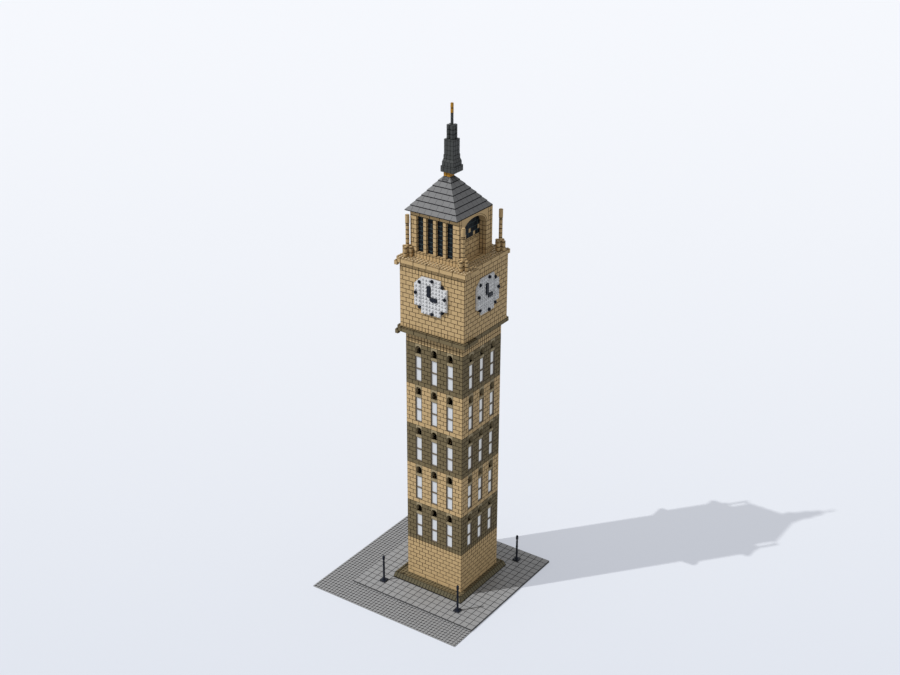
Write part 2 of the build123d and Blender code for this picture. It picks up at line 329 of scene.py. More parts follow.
class Finish(Enum):
    """The finishes of the model, each by the piece that it is used on."""

    STAND = Moulded("stand_grey", "stand_grey", (0.285, 0.285, 0.287), (0.02, 0.02, 0.022))
    PAVING = Moulded("paving_grey", "paving_grey", (0.27, 0.27, 0.271), (0.02, 0.02, 0.022))
    TAN = Moulded("tan", "tan", (0.51, 0.363, 0.188), (0.04, 0.022, 0.009), 0.06)
    DARK_TAN = Moulded("dark_tan", "dark_tan", (0.17, 0.134, 0.075), (0.013, 0.009, 0.005), 0.03)
    # Painted shade: a darker copy of dark tan for the plinth, whose slopes catch more light.
    OLIVE = Moulded("plinth_olive", "dark_tan", (0.12, 0.103, 0.06), (0.01, 0.008, 0.004), 0.1, 0.5, grit=0.9)
    # Painted highlight: a lighter copy of tan for the terrace studs, whose tops are lit.
    BRIGHT_TAN = Moulded("bright_tan", "tan", (0.62, 0.485, 0.30), (0.04, 0.022, 0.009), 0.06)
    # Painted shade: a darker, greyer copy of tan for the sills and arch heads.
    SAND = Moulded("sand", "tan", (0.32, 0.26, 0.158), (0.035, 0.026, 0.016), 0.08)
    # Painted shade: the white frames are coloured dark brown, for the shaded edges round each pane.
    FRAME = Moulded("window_frame", "window_white", (0.17, 0.135, 0.095), (0.025, 0.02, 0.016))
    # Painted light: the pane's last colour is a glow, not a lamp.
    PANE = Pane("window_pane", "window_white", (0.34, 0.37, 0.42), (0.04, 0.04, 0.045), (0.29, 0.29, 0.285))
    DIAL = Moulded("dial_white", "dial_white", (0.67, 0.675, 0.685), (0.14, 0.145, 0.16))
    BLACK = Moulded("black", "black", (0.008, 0.011, 0.015), (0.07, 0.108, 0.118), 0.05)
    INK = Moulded("ink", "black", (0.010, 0.013, 0.022), (0.007, 0.009, 0.014), 0.15)
    SLATE = Moulded("roof_grey", "roof_grey", (0.176, 0.176, 0.178), (0.012, 0.012, 0.014), 0.05)
    SPIRE = Moulded("spire_grey", "roof_grey", (0.057, 0.06, 0.059), (0.006, 0.0065, 0.007))
    GOLD = Moulded("gold", "gold", (0.42, 0.205, 0.02), (0.05, 0.022, 0.005), 0.2, 0.36, 0.04, 0.1)

    def material(self) -> Material:
        """The finish's material, built at its first use."""
        found = bpy.data.materials.get(f"{self.value.label}_plastic")
        return found or self.value.material()


# ---------------------------------------------------------------- bench work
def looks(axis: str, way: int) -> Test:
    """A test for faces that look one way along an axis."""
    return lambda face: getattr(face.normal, axis) * way > 0.5


def upright(face: Any) -> bool:
    """Whether a face stands upright."""
    return abs(face.normal.z) < 0.1


class Bench:
    """Hand tools: primitives are added here and shaped in edit mode."""

    @staticmethod
    def clear() -> None:
        """Leave edit mode and deselect everything."""
        if bpy.context.object and bpy.context.object.mode != "OBJECT":
            bpy.ops.object.mode_set(mode="OBJECT")
        bpy.ops.object.select_all(action="DESELECT")

    @staticmethod
    def hold(piece: Object) -> None:
        """Leave one piece selected, for the tools to act on.

        Args:
            piece: The piece.
        """
        Bench.clear()
        piece.select_set(True)
        bpy.context.view_layer.objects.active = piece

    @staticmethod
    def _named(name: str) -> Object:
        """Name the primitive just added, and put its scale into its mesh.

        Args:
            name: Name of the piece.

        Returns:
            The primitive.
        """
        made = bpy.context.object
        made.name = made.data.name = name
        bpy.ops.object.transform_apply(location=True, rotation=True, scale=True)
        return made

    @staticmethod
    def box(name: str, size: Iterable[float], foot: Iterable[float] = (0, 0, 0)) -> Object:
        """Add a box that stands on a point.

        Args:
            name: Name of the piece.
            size: Width, depth and height.
            foot: Middle of the box's underside.

        Returns:
            The new object.
        """
        Bench.clear()
        wide, deep, high = size
        x, y, z = foot
        bpy.ops.mesh.primitive_cube_add(size=1, location=(x, y, z + high / 2), scale=(wide, deep, high))
        return Bench._named(name)

    @staticmethod
    def drum(name: str, radius: float, high: float, z: float = 0.0, sides: int = ROUND_SIDES) -> Object:
        """Add an upright round bar.

        Args:
            name: Name of the piece.
            radius: Radius of the bar.
            high: Its height.
            z: Height of its foot.
            sides: Number of its sides.

        Returns:
            The new object.
        """
        Bench.clear()
        middle = (0, 0, z + high / 2)
        bpy.ops.mesh.primitive_cylinder_add(vertices=sides, radius=radius, depth=high, location=middle)
        return Bench._named(name)

    @staticmethod
    def turned(name: str, outline: Iterable[tuple[float, float]]) -> Object:
        """Turn an upright round piece.

        Args:
            name: Name of the piece.
            outline: Radius and height of each corner from the foot up, the first two on one radius.

        Returns:
            The new object.
        """
        (now, foot), (_, level), *rest = outline
        piece = Bench.drum(name, now, level - foot, foot)
        with Bench.editing(piece) as pick:
            pick("faces", looks("z", 1))
            for radius, z in rest:
                Bench.push(0, 0, z - level)
                Bench.stretch(radius / now, radius / now)
                now, level = radius, z
        return piece

    @staticmethod
    @contextmanager
    def editing(piece: Object) -> Iterator[Callable[[str, Test], None]]:
        """Open a piece in edit mode with nothing selected.

        Args:
            piece: The piece to shape.

        Yields:
            What selects its "faces", "edges" or "verts" that pass a test.
        """
        Bench.hold(piece)
        bpy.ops.object.mode_set(mode="EDIT")
        bpy.ops.mesh.select_all(action="DESELECT")
        yield partial(Bench._pick, piece)
        bpy.ops.object.mode_set(mode="OBJECT")

    @staticmethod
    def _pick(piece: Object, items: str, test: Test) -> None:
        """Select faces, edges or vertices that pass a test.

        Args:
            piece: The piece that is open in edit mode.
            items: "faces", "edges" or "verts".
            test: Says whether one of them is wanted.
        """
        modes = {"verts": "VERT", "edges": "EDGE", "faces": "FACE"}
        bpy.ops.mesh.select_mode(type=modes[items])
        mesh = bmesh.from_edit_mesh(piece.data)
        for item in getattr(mesh, items):
            item.select_set(test(item))
        mesh.select_flush_mode()
        bmesh.update_edit_mesh(piece.data)

    @staticmethod
    def bevel(width: float, segments: int = 1, **options: Any) -> None:
        """Bevel the selected edges."""
        bpy.ops.mesh.bevel(offset=width, offset_type="OFFSET", segments=segments, affect="EDGES", **options)

    @staticmethod
    def push(x: float, y: float, z: float) -> None:
        """Extrude what is selected."""
        bpy.ops.mesh.extrude_region_move(TRANSFORM_OT_translate={"value": (x, y, z)})

    @staticmethod
    def stretch(x: float, y: float) -> None:
        """Scale what is selected from the origin, in plan."""
        bpy.ops.transform.resize(value=(x, y, 1), center_override=(0, 0, 0))

    @staticmethod
    def soften(piece: Object, width: float = EDGE, sharp: float = 30.0, wanted: Test | None = None) -> Object:
        """Break the sharp edges and mark the new faces as the joint line.

        Args:
            piece: The piece to finish.
            width: Width of the broken edge.
            sharp: Least angle of an edge that is broken, in degrees.
            wanted: Picks the edges that are broken, in place of the angle.

        Returns:
            The same piece.
        """
        piece.data.materials.clear()
        for _ in range(2):
            piece.data.materials.append(None)
        with Bench.editing(piece) as pick:
            if wanted:
                pick("edges", wanted)
            else:
                bpy.ops.mesh.select_mode(type="EDGE")
                bpy.ops.mesh.edges_select_sharp(sharpness=math.radians(sharp))
            Bench.bevel(width, material=1)
        faces = piece.data.polygons
        marks = piece.data.attributes.new("joint", "FLOAT", "FACE")
        marks.data.foreach_set("value", [float(face.material_index == 1) for face in faces])
        faces.foreach_set("material_index", [0] * len(faces))
        piece.data.materials.clear()
        return piece

    @staticmethod
    def mark(piece: Object, test: Test, share: float = 1.0) -> None:
        """Mark more faces with the joint colour: joint lines, and painted shade on the upright sides of studs
        and tiles.

        Args:
            piece: A piece that has been softened.
            test: Says whether a face is wanted.
            share: How dark they are, up to the full shade of a joint.
        """
        marks = piece.data.attributes["joint"]
        for face in piece.data.polygons:
            if test(face):
                marks.data[face.index].value = share

    @staticmethod
    def smooth(piece: Object, angle: float = 35.0) -> Object:
        """Shade the round faces smooth and keep the edges crisp.

        Args:
            piece: The piece.
            angle: Greatest angle between faces that are shaded as one, in degrees.

        Returns:
            The same piece.
        """
        Bench.hold(piece)
        bpy.ops.object.shade_smooth_by_angle(angle=math.radians(angle))
        return piece

    @staticmethod
    def apply(piece: Object) -> None:
        """Apply every modifier of a piece, in order.

        Args:
            piece: The piece.
        """
        Bench.hold(piece)
        for modifier in list(piece.modifiers):
            bpy.ops.object.modifier_apply(modifier=modifier.name)

    @staticmethod
    def cut(piece: Object, *cutters: Object) -> None:
        """Cut shapes out of a piece, and use them up.

        Args:
            piece: The piece.
            *cutters: The shapes.
        """
        for cutter in cutters:
            modifier = piece.modifiers.new("cut", "BOOLEAN")
            modifier.operation = "DIFFERENCE"
            modifier.solver = "EXACT"
            modifier.object = cutter
        Bench.apply(piece)
        for cutter in cutters:
            bpy.data.objects.remove(cutter)

    @staticmethod
    def join(name: str, pieces: list[Object]) -> Object:
        """Join several pieces into one.

        Args:
            name: Name of the result.
            pieces: The pieces, the first of which is kept.

        Returns:
            The joined piece.
        """
        Bench.hold(pieces[0])
        for piece in pieces:
            piece.select_set(True)
        bpy.ops.object.join()
        pieces[0].name = pieces[0].data.name = name
        return pieces[0]


# ---------------------------------------------------------------- stock pieces
class Stock:
    """The box of pieces: each kind is modelled once, at its first use."""

    knob_radius = 2.4 * MM
    knob_high = 1.7 * MM
    knob_edge = 0.35 * MM
    post_radius = 3.9 * MM
    post_edge = 0.7 * MM
    waist_rise = 1.2 * MM
    _made: dict[str, Object] = {}

    @classmethod
    def get(cls, label: str, make: Callable[[str], Object]) -> Object:
        """Give a kind of piece, and model it if it isn't there yet.

        Args:
            label: Name of the kind.
            make: Models the piece under the name it is given.

        Returns:
            The stock piece.
        """
        if label not in cls._made:
            cls._made[label] = make(f"stock_{len(cls._made):03d}_{label}")
        return cls._made[label]

    @classmethod
    def clear(cls) -> None:
        """Throw the stock pieces away once everything is laid."""
        for piece in cls._made.values():
            bpy.data.objects.remove(piece)
        cls._made.clear()

    @classmethod
    def block(cls, long: int, wide: int = 1, high: float = BRICK, edge: float = EDGE) -> Object:
        """A brick, plate or tile.

        Args:
            long: Studs along X.
            wide: Studs along Y.
            high: Its height.
            edge: Width of its broken edges.

        Returns:
            The stock piece, standing on its middle.
        """
        size = (long * STUD - GAP, wide * STUD - GAP, high - GAP / 2)
        label = f"block_{long}x{wide}_{high:.5f}_{edge:.5f}"
        return cls.get(label, lambda name: Bench.soften(Bench.box(name, size), edge))

    @classmethod
    def knob(cls, shade: float = 1.0) -> Object:
        """The stud on top of a brick.

        Args:
            shade: How dark its upright side is painted, as painted shade round the stud.

        Returns:
            The stock piece.
        """

        def rim(edge: Any) -> bool:
            """Whether an edge runs round the stud's top."""
            return min(vert.co.z for vert in edge.verts) > cls.knob_high / 2

        def make(name: str) -> Object:
            """Model the stud as a drum with its top edge broken.

            Args:
                name: Name of the piece.

            Returns:
                The stock piece.
            """
            piece = Bench.drum(name, cls.knob_radius, cls.knob_high, sides=KNOB_SIDES)
            Bench.soften(piece, cls.knob_edge, wanted=rim)
            # Painted shade: the stud's upright side takes the joint colour, as dark as shade asks.
            Bench.mark(piece, upright, shade)
            return Bench.smooth(piece, 50)

        return cls.get(f"knob_{shade:.1f}", make)

    @classmethod
    def slope(cls, long: int, corner: bool = False, edge: float = 0.2 * MM) -> Object:
        """A slope whose low edge faces -Y, or a corner slope with low edges to -X and -Y.

        Args:
            long: Studs along X.
            corner: Whether it is a corner piece, two studs each way.
            edge: Width of its broken edges.

        Returns:
            The stock piece, standing on its middle.
        """
        deep = long if corner else 1
        crest, border = 0.8 * BRICK, -0.4 * deep * STUD

        def cut_back(line: Any) -> bool:
            """Whether an edge of the block is cut back into the slope."""
            middle = (line.verts[0].co + line.verts[1].co) / 2
            return middle.z > crest and (middle.y < border or (corner and middle.x < border))

        def lip(face: Any) -> bool:
            """Whether a face is part of the low upright edge under the slope."""
            return abs(face.normal.z) < 0.3 and face.center.z < 0.2 * BRICK

        def make(name: str) -> Object:
            """Model the slope by cutting a stud off the block's top edges.

            Args:
                name: Name of the piece.

            Returns:
                The stock piece.
            """
            piece = Bench.box(name, (long * STUD - GAP, deep * STUD - GAP, BRICK))
            with Bench.editing(piece) as pick:
                pick("edges", cut_back)
                Bench.bevel(STUD - GAP)
            Bench.soften(piece, edge)
            Bench.mark(piece, lip)
            return piece

        return cls.get(f"slope_{long}_{'corner' if corner else 'run'}_{edge:.5f}", make)

    @classmethod
    def round_brick(cls, radius: float = post_radius, high: float = BRICK, neck: float = 0.5 * MM) -> Object:
        """A round brick with a narrower foot, as stacked in the pinnacles.

        Args:
            radius: Radius of its body.
            high: Its height.
            neck: How far its foot is drawn in.

        Returns:
            The stock piece.
        """

        def outer(vert: Any) -> bool:
            """Whether a corner lies on the ring outside the drawn-in foot."""
            return vert.co.z < GAP and vert.co.xy.length > radius - neck / 2

        def make(name: str) -> Object:
            """Model a drum and lift the ring round its foot.

            Args:
                name: Name of the piece.

            Returns:
                The stock piece.
            """
            piece = Bench.drum(name, radius, high)
            with Bench.editing(piece) as pick:
                pick("faces", looks("z", -1))
                bpy.ops.mesh.inset(thickness=neck)
                Bench.push(0, 0, -HAIR)
                pick("verts", outer)
                bpy.ops.transform.translate(value=(0, 0, cls.waist_rise))
            Bench.soften(piece, cls.post_edge)
            Bench.mark(piece, lambda face: face.center.z < cls.waist_rise + GAP)
            return Bench.smooth(piece)

        return cls.get(f"round_{radius:.5f}_{high:.5f}", make)


@dataclass
class Layout:
    """Copies of stock pieces in one finish, each at its place, joined into one mesh."""

    name: str
    finish: Finish
    kinds: list[Object] = field(default_factory=list)
    rows: list[tuple[Vector, int, tuple[float, float, float], float]] = field(default_factory=list)

    def add(self, kind: Object, at: Iterable[float], turn: tuple[float, float, float] = (0, 0, 0)) -> None:
        """Lay one copy.

        Args:
            kind: The stock piece.
            at: Where its foot stands.
            turn: Its turn about X, Y and Z.
        """
        if kind not in self.kinds:
            self.kinds.append(kind)
        self.rows.append((Vector(at), self.kinds.index(kind), turn, DICE.random()))

    def lay(self, *nodes: str) -> None:
        """Set a copy on each place, make one mesh of them and finish it.

        Args:
            *nodes: Names of the solids that the piece stands for.
        """
        mesh = bpy.data.meshes.new(self.name)
        mesh.from_pydata([row[0] for row in self.rows], [], [])
        piece = bpy.data.objects.new(self.name, mesh)
        bpy.context.scene.collection.objects.link(piece)
        order = sorted(range(len(self.kinds)), key=lambda k: self.kinds[k].name)
        carried = (
            ("kind", "INT", "value", [order.index(row[1]) for row in self.rows]),
            ("tint", "FLOAT", "value", [row[3] for row in self.rows]),
            ("turn", "FLOAT_VECTOR", "vector", [angle for row in self.rows for angle in row[2]]),
        )
        for label, kind, socket, values in carried:
            mesh.attributes.new(label, kind, "POINT").data.foreach_set(socket, values)
        crate = bpy.data.collections.new(f"{self.name}_stock")
        bpy.context.scene.collection.children.link(crate)
        for kind in self.kinds:
            crate.objects.link(kind)
        group = self._nodes(crate)
        piece.modifiers.new("lay", "NODES").node_group = group
        Bench.apply(piece)
        bpy.data.node_groups.remove(group)
        bpy.data.collections.remove(crate)
        for spare in ("kind", "turn"):
            if spare in piece.data.attributes:
                piece.data.attributes.remove(piece.data.attributes[spare])
        finish_piece(piece, self.finish, *nodes)

    def _nodes(self, crate: bpy.types.Collection) -> bpy.types.NodeTree:
        """Make the node group that sets the copies on their places.

        Args:
            crate: The collection of stock pieces.

        Returns:
            The node group.
        """
        tree = bpy.data.node_groups.new(f"{self.name}_lay", "GeometryNodeTree")
        for way in ("INPUT", "OUTPUT"):
            tree.interface.new_socket("Geometry", in_out=way, socket_type="NodeSocketGeometry")
        graph = Graph(tree)
        stock = {"Collection": crate, "Separate Children": True, "Reset Children": True}
        carried = "GeometryNodeInputNamedAttribute"
        places = {
            "Points": graph.node("NodeGroupInput", {}, {}),
            "Instance": graph.node("GeometryNodeCollectionInfo", {}, stock),
            "Pick Instance": True,
            "Instance Index": graph.node(carried, {"data_type": "INT"}, {"Name": "kind"}),
            "Rotation": graph.node(carried, {"data_type": "FLOAT_VECTOR"}, {"Name": "turn"}),
        }
        copies = graph.node("GeometryNodeInstanceOnPoints", {}, places)
        real = graph.node("GeometryNodeRealizeInstances", {}, [copies])
        graph.node("NodeGroupOutput", {}, [real])
        return tree


def dress(piece: Object, finish: Finish) -> None:
    """Give a piece the material of its finish.

    Args:
        piece: The piece.
        finish: Its finish.
    """
    piece.data.materials.clear()
    piece.data.materials.append(finish.material())


def finish_piece(piece: Object, finish: Finish, *nodes: str) -> None:
    """Ride a piece on the tower, dress it and hide the solids that it stands for.

    Args:
        piece: The piece.
        finish: Its finish.
        *nodes: Names of the solids.
    """
    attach(piece, "root")
    dress(piece, finish)
    if nodes:
        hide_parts(*nodes)
    LOG.info("%s: %d faces", piece.name, len(piece.data.polygons))


# ---------------------------------------------------------------- places
class Side(Enum):
    """The four sides of the tower, by quarter turns from the front."""

    FRONT = 0
    RIGHT = 1
    BACK = 2
    LEFT = 3

    @property
    def label(self) -> str:
        """The side's name in the names of pieces."""
        return self.name.lower()

    @property
    def turn(self) -> float:
        """Turn about Z that brings a front piece to this side."""
        return self.value * QUARTER


@dataclass(frozen=True)
class Face:
    """One side of the tower, and the axis that it stands round."""

    side: Side
    centre: Vector

    def put(
        self, layout: Layout, kind: Object, along: float, out: float, z: float, tilt: float = 0.0
    ) -> None:
        """Lay a piece on this side.

        Args:
            layout: The layout that takes the piece.
            kind: The stock piece.
            along: Distance to the right, as seen from outside.
            out: Distance from the axis.
            z: Height of its foot.
            tilt: How far its top is turned outwards.
        """
        spot = Vector((along, -out, 0))
        spot.rotate(Euler((0, 0, self.side.turn)))
        place = (self.centre.x + spot.x, self.centre.y + spot.y, z)
        layout.add(kind, place, (tilt, 0, self.side.turn))

    def course(
        self,
        layout: Layout,
        pieces: Iterable[Span],
        out: float,
        z: float,
        high: float = BRICK,
        edge: float = EDGE,
    ) -> None:
        """Lay one course of a wall that is a stud thick.

        Args:
            layout: The layout that takes the bricks.
            pieces: The two ends of each brick, in studs along the side.
            out: Distance of the wall's outer face from the axis, in studs.
            z: Height of the course's foot.
            high: Height of the course.
            edge: Width of the bricks' broken edges.
        """
        for start, stop in pieces:
            block = Stock.block(round(stop - start), 1, high, edge)
            self.put(layout, block, (start + stop) / 2 * STUD, (out - 0.5) * STUD, z)


def spans(start: float, stop: float, unit: float, phase: float = 0.0) -> list[Span]:
    """Divide a run into pieces whose joints keep to a common rhythm.

    Args:
        start: Where the run starts, in studs.
        stop: Where it ends.
        unit: Length of a whole piece.
        phase: A place where a joint falls.

    Returns:
        The two ends of each piece.
    """
    least = 1e-6
    cuts = [start]
    joint = phase + math.ceil((start - phase) / unit) * unit
    while joint < stop - least:
        if joint > start + least:
            cuts.append(joint)
        joint += unit
    cuts.append(stop)
    return list(zip(cuts, cuts[1:]))


def squares(low: Vector, high: Vector, unit: int = 1) -> Iterator[Span]:
    """Divide a rectangle into squares.

    Args:
        low: Its lowest corner.
        high: Its highest corner.
        unit: Studs along a square's side.

    Yields:
        The middle of each square.
    """
    for i in range(round((high.x - low.x) / STUD) // unit):
        for j in range(round((high.y - low.y) / STUD) // unit):
            yield low.x + (i + 0.5) * unit * STUD, low.y + (j + 0.5) * unit * STUD


@dataclass
class Site:
    """Levels and axes of the tower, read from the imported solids."""

    axis: Vector = field(init=False)
    belfry: Vector = field(init=False)
    roof: Vector = field(init=False)
    spire: Vector = field(init=False)

    def __post_init__(self) -> None:
        """Read the axes from the boxes of the solids that stand on them."""
        self.axis = self.middle("neck_band")
        self.belfry = self.middle("belfry_lining")
        self.roof = self.middle("roof")
        self.spire = self.middle("spire_body")

    @staticmethod
    def middle(node: str) -> Vector:
        """Middle of a solid, seen from above."""
        low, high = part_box(node)
        return (low + high) / 2

    @staticmethod
    def foot(node: str) -> float:
        """Height of a solid's underside."""
        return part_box(node)[0].z

    @staticmethod
    def top(node: str) -> float:
        """Height of a solid's top."""
        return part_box(node)[1].z


# ---------------------------------------------------------------- stand
@dataclass
class Stand:
    """Studded base plate with its paving of flat tiles."""

    tile: int = 2
    tile_edge: float = 0.65 * MM
    # How dark the tiles' upright sides are painted: painted shade, which also darkens the joints between
    # tiles.
    tile_shade: float = 0.8

    def build(self) -> None:
        """Dress the base plate, stud its bare strips and lay the tiles."""
        low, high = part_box("base_plate")
        paved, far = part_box("plaza_paving")
        dress(bpy.data.objects["base_plate"], Finish.STAND)
        studs = Layout("base_studs", Finish.STAND)
        for x, y in squares(low, high):
            if x < paved.x or y < paved.y:
                # Full-dark sides: painted shade round each stud.
                studs.add(Stock.knob(), (x, y, high.z))
        studs.lay()
        tiles = Layout("paving_tiles", Finish.PAVING)
        for x, y in squares(paved, far, self.tile):
            tiles.add(Stock.get("paving_tile", self._tile), (x, y, paved.z))
        tiles.lay("plaza_paving")

    def _tile(self, name: str) -> Object:
        """Model a paving tile with a wide broken edge and painted shade on its sides.

        Args:
            name: Name of the piece.

        Returns:
            The stock piece.
        """
        wide = self.tile * STUD - GAP
        tile = Bench.soften(Bench.box(name, (wide, wide, PLATE)), self.tile_edge)
        Bench.mark(tile, upright, self.tile_shade)
        return tile


@dataclass
class Plinth:
    """Low plinth of slopes in front and to the right, and bricks on the other sides."""

    brick: int = 4
    # How dark the ledge studs' sides are painted, as painted shade.
    knob_shade: float = 0.4

    def build(self) -> None:
        """Lay the slopes, the bricks, the bed inside them and the studs of the ledge."""
        low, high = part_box("plinth_skirt")
        count = round((high.x - low.x) / STUD)
        # The plinth takes the darker copy of dark tan: painted shade.
        course = Layout("plinth_course", Finish.OLIVE)

        def put(kind: Object, x: float, y: float, turn: float = 0.0) -> None:
            """Lay a piece at a place in studs from the plinth's corner."""
            course.add(kind, (low.x + x * STUD, low.y + y * STUD, low.z), (0, 0, turn))

        for k in range(count - 2):
            put(Stock.slope(1, edge=EDGE), k + 0.5, 0.5)
            put(Stock.slope(1, edge=EDGE), count - 0.5, k + 2.5, QUARTER)
        put(Stock.slope(2, True, EDGE), count - 1, 1, QUARTER)
        for start, stop in spans(0, count - 1, self.brick):
            put(Stock.block(round(stop - start)), (start + stop) / 2, count - 0.5)
        for start, stop in spans(1, count - 1, self.brick, 1):
            put(Stock.block(round(stop - start)), 0.5, (start + stop) / 2, QUARTER)
        course.lay("plinth_skirt")
        bed = (count - 2) * STUD
        foot = (low.x + count / 2 * STUD, low.y + count / 2 * STUD, low.z)
        fill = Bench.soften(Bench.box("plinth_bed", (bed, bed, BRICK - GAP), foot))
        finish_piece(fill, Finish.DARK_TAN)
        self._studs(low, high)

    def _studs(self, low: Vector, high: Vector) -> None:
        """Set the studs of the ledge between the slopes and the shaft.

        Args:
            low: Lowest corner of the plinth.
            high: Its highest corner.
        """
        near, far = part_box("front_wall")[0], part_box("back_wall")[1]
        studs = Layout("plinth_studs", Finish.DARK_TAN)
        for x, y in squares(low, high):
            sloped = x > high.x - STUD or y < low.y + STUD
            under = near.x < x < far.x and near.y < y < far.y
            if not sloped and not under:
                studs.add(Stock.knob(self.knob_shade), (x, y, high.z))
        studs.lay()


# ---------------------------------------------------------------- shaft
@dataclass
class Shaft:
    """Tall shaft: a plain foot, then five stages of windows and small arches."""

    site: Site
    half: int = 9
    long_courses: int = 2
    base_courses: int = 10
    stage_courses: int = 10
    stages: int = 5
    columns: tuple[int, int, int] = (-5, 0, 5)
    width: float = 1.98 * STUD
    window_first: int = 1
    window_courses: int = 3
    frame_high: float = 2.99 * BRICK
    frame_rim: float = 0.9 * MM
    frame_deep: float = 4.4 * MM
    pane_size: tuple[float, float, float] = (13.9 * MM, 1.2 * MM, 26.7 * MM)
    pane_rim: float = 0.5 * MM
    pane_back: float = 3.8 * MM
    pane_rise: float = 1.0 * MM
    pane_edge: float = 0.12 * MM
    sill_course: int = 7
    sill_depth: float = 2.0 * MM
    sill_high: float = 2 * PLATE
    opening: tuple[float, float] = (14.0 * MM, 18.0 * MM)
    crown: float = 6.9 * MM

    def build(self) -> None:
        """Lay the four walls with their windows and arches."""
        foot = self.site.foot("front_wall")
        for side in Side:
            face = Face(side, self.site.axis)
            self._wall(face, foot)
            self._glazing(face, foot + self.base_courses * BRICK)

    def _gaps(self, course: int) -> list[Span]:
        """Runs of wall left between the openings in a course of a stage.

        Args:
            course: Number of the course in its stage.

        Returns:
            The two ends of each run, in studs.
        """
        if course < self.window_first:
            return [(-self.half, self.half)]
        edges = [-self.half]
        for column in self.columns:
            edges += [column - 1, column + 1]
        edges.append(self.half)
        return list(zip(edges[::2], edges[1::2]))

    def _wall(self, face: Face, foot: float) -> None:
        """Lay the bricks of one side.

        Args:
            face: Side of the tower.
            foot: Height of the wall's foot.
        """
        label = face.side.label
        tan = Layout(f"{label}_tan_bricks", Finish.TAN)
        dark = Layout(f"{label}_dark_bricks", Finish.DARK_TAN)
        for n in range(self.base_courses + self.stages * self.stage_courses):
            stage, course = divmod(n - self.base_courses, self.stage_courses)
            plain = n < self.base_courses
            through = n % 2 == face.side.value % 2
            reach = self.half if through else self.half - 1
            single = n in (self.base_courses - 1, self.base_courses)
            unit = 4 if n < self.long_courses else 1 if single else 2
            for start, stop in [(-self.half, self.half)] if plain else self._gaps(course):
                pieces = spans(max(start, -reach), min(stop, reach), unit, reach)
                face.course(tan if plain or stage % 2 else dark, pieces, self.half, foot + n * BRICK)
        tan.lay(f"{label}_wall")
        dark.lay(f"{label}_wall")

    def _frame(self, name: str) -> Object:
        """Model a window frame: a block with a pocket in its face.

        Args:
            name: Name of the piece.

        Returns:
            The stock piece.
        """
        piece = Bench.box(name, (self.width, STUD, self.frame_high))
        with Bench.editing(piece) as pick:
            pick("faces", looks("y", -1))
            bpy.ops.mesh.inset(thickness=self.frame_rim)
            Bench.push(0, self.frame_deep, 0)
        return Bench.soften(piece, FINE_EDGE)

    def _pane(self, name: str) -> Object:
        """Model a window pane: a thin plate with a raised, softened face.

        Args:
            name: Name of the piece.

        Returns:
            The stock piece.
        """
        piece = Bench.box(name, self.pane_size)
        with Bench.editing(piece) as pick:
            pick("faces", looks("y", -1))
            bpy.ops.mesh.inset(thickness=self.pane_rim)
            bpy.ops.transform.translate(value=(0, -self.pane_rim / 2, 0))
        return Bench.soften(piece, self.pane_edge, 60)

    def _arch(self, name: str) -> Object:
        """Model the arch brick that crowns a window column.

        Args:
            name: Name of the piece.

        Returns:
            The stock piece.
        """
        tall = (self.stage_courses - self.sill_course) * BRICK - self.sill_high - GAP
        piece = Bench.box(name, (self.width, STUD, tall))
        wide, high = self.opening
        opening = Bench.box("opening", (wide, 2 * STUD, high), (0, 0, -4 * GAP))

        def shoulder(edge: Any) -> bool:
            """Whether an edge of the opening is one that is rounded into the arch."""
            first, second = (vert.co for vert in edge.verts)
            return min(first.z, second.z) > BRICK and abs(first.x - second.x) < GAP

        with Bench.editing(opening) as pick:
            pick("edges", shoulder)
            Bench.bevel(self.crown, 6)
        Bench.cut(piece, opening)
        return Bench.soften(piece, FINE_EDGE, 40)

    def _sill(self, name: str) -> Object:
        """Model the sill under an arch: a thin upright slab, open behind."""
        size = (self.width, self.sill_depth, self.sill_high - GAP)
        return Bench.soften(Bench.box(name, size), FINE_EDGE)

    def _glazing(self, face: Face, foot: float) -> None:
        """Set the frames, panes, sill blocks and arch bricks of one side.

        Args:
            face: Side of the tower.
            foot: Height of the lowest stage.
        """
        label = face.side.label
        # Frames take a dark colour in place of their white: painted shade.
        frames = Layout(f"{label}_window_frames", Finish.FRAME)
        panes = Layout(f"{label}_window_panes", Finish.PANE)
        # Sills and arches take the darker copy of tan: painted shade.
        heads = Layout(f"{label}_sills_and_arches", Finish.SAND)
        front = self.half * STUD
        middle = (self.half - 0.5) * STUD
        for stage in range(self.stages):
            floor = foot + stage * self.stage_courses * BRICK
            for column in self.columns:
                u = column * STUD
                for k in range(2):
                    z = floor + (self.window_first + k * self.window_courses) * BRICK
                    face.put(frames, Stock.get("window_frame", self._frame), u, middle, z)
                    pane = Stock.get("window_pane", self._pane)
                    face.put(panes, pane, u, front - self.pane_back, z + self.pane_rise)
                z = floor + self.sill_course * BRICK
                face.put(heads, Stock.get("sill", self._sill), u, front - self.sill_depth / 2, z)
                face.put(heads, Stock.get("arch_brick", self._arch), u, middle, z + self.sill_high)
        frames.lay(f"{label}_windows")
        panes.lay(f"{label}_windows")
        heads.lay()


# ---------------------------------------------------------------- neck and cornices
@dataclass
class Neck:
    """Plain band of single bricks and long plates between the shaft and the lower cornice."""

    site: Site
    half: int = 9
    bricks: int = 2
    plates: int = 2

    def build(self) -> None:
        """Lay the courses of single bricks and the rows of plates on each side."""
        z = self.site.foot("neck_band")
        band = Layout("neck_bricks", Finish.TAN)
        for side in Side:
            face = Face(side, self.site.axis)
            reach = self.half - side.value % 2
            for k in range(self.bricks):
                face.course(band, spans(-reach, reach, 1), self.half, z + k * BRICK, edge=WIDE_EDGE)
            for k in range(self.plates):
                pieces = spans(-reach, reach, 4, self.half)
                face.course(band, pieces, self.half, z + self.bricks * BRICK + k * PLATE, PLATE)
        band.lay("neck_band")


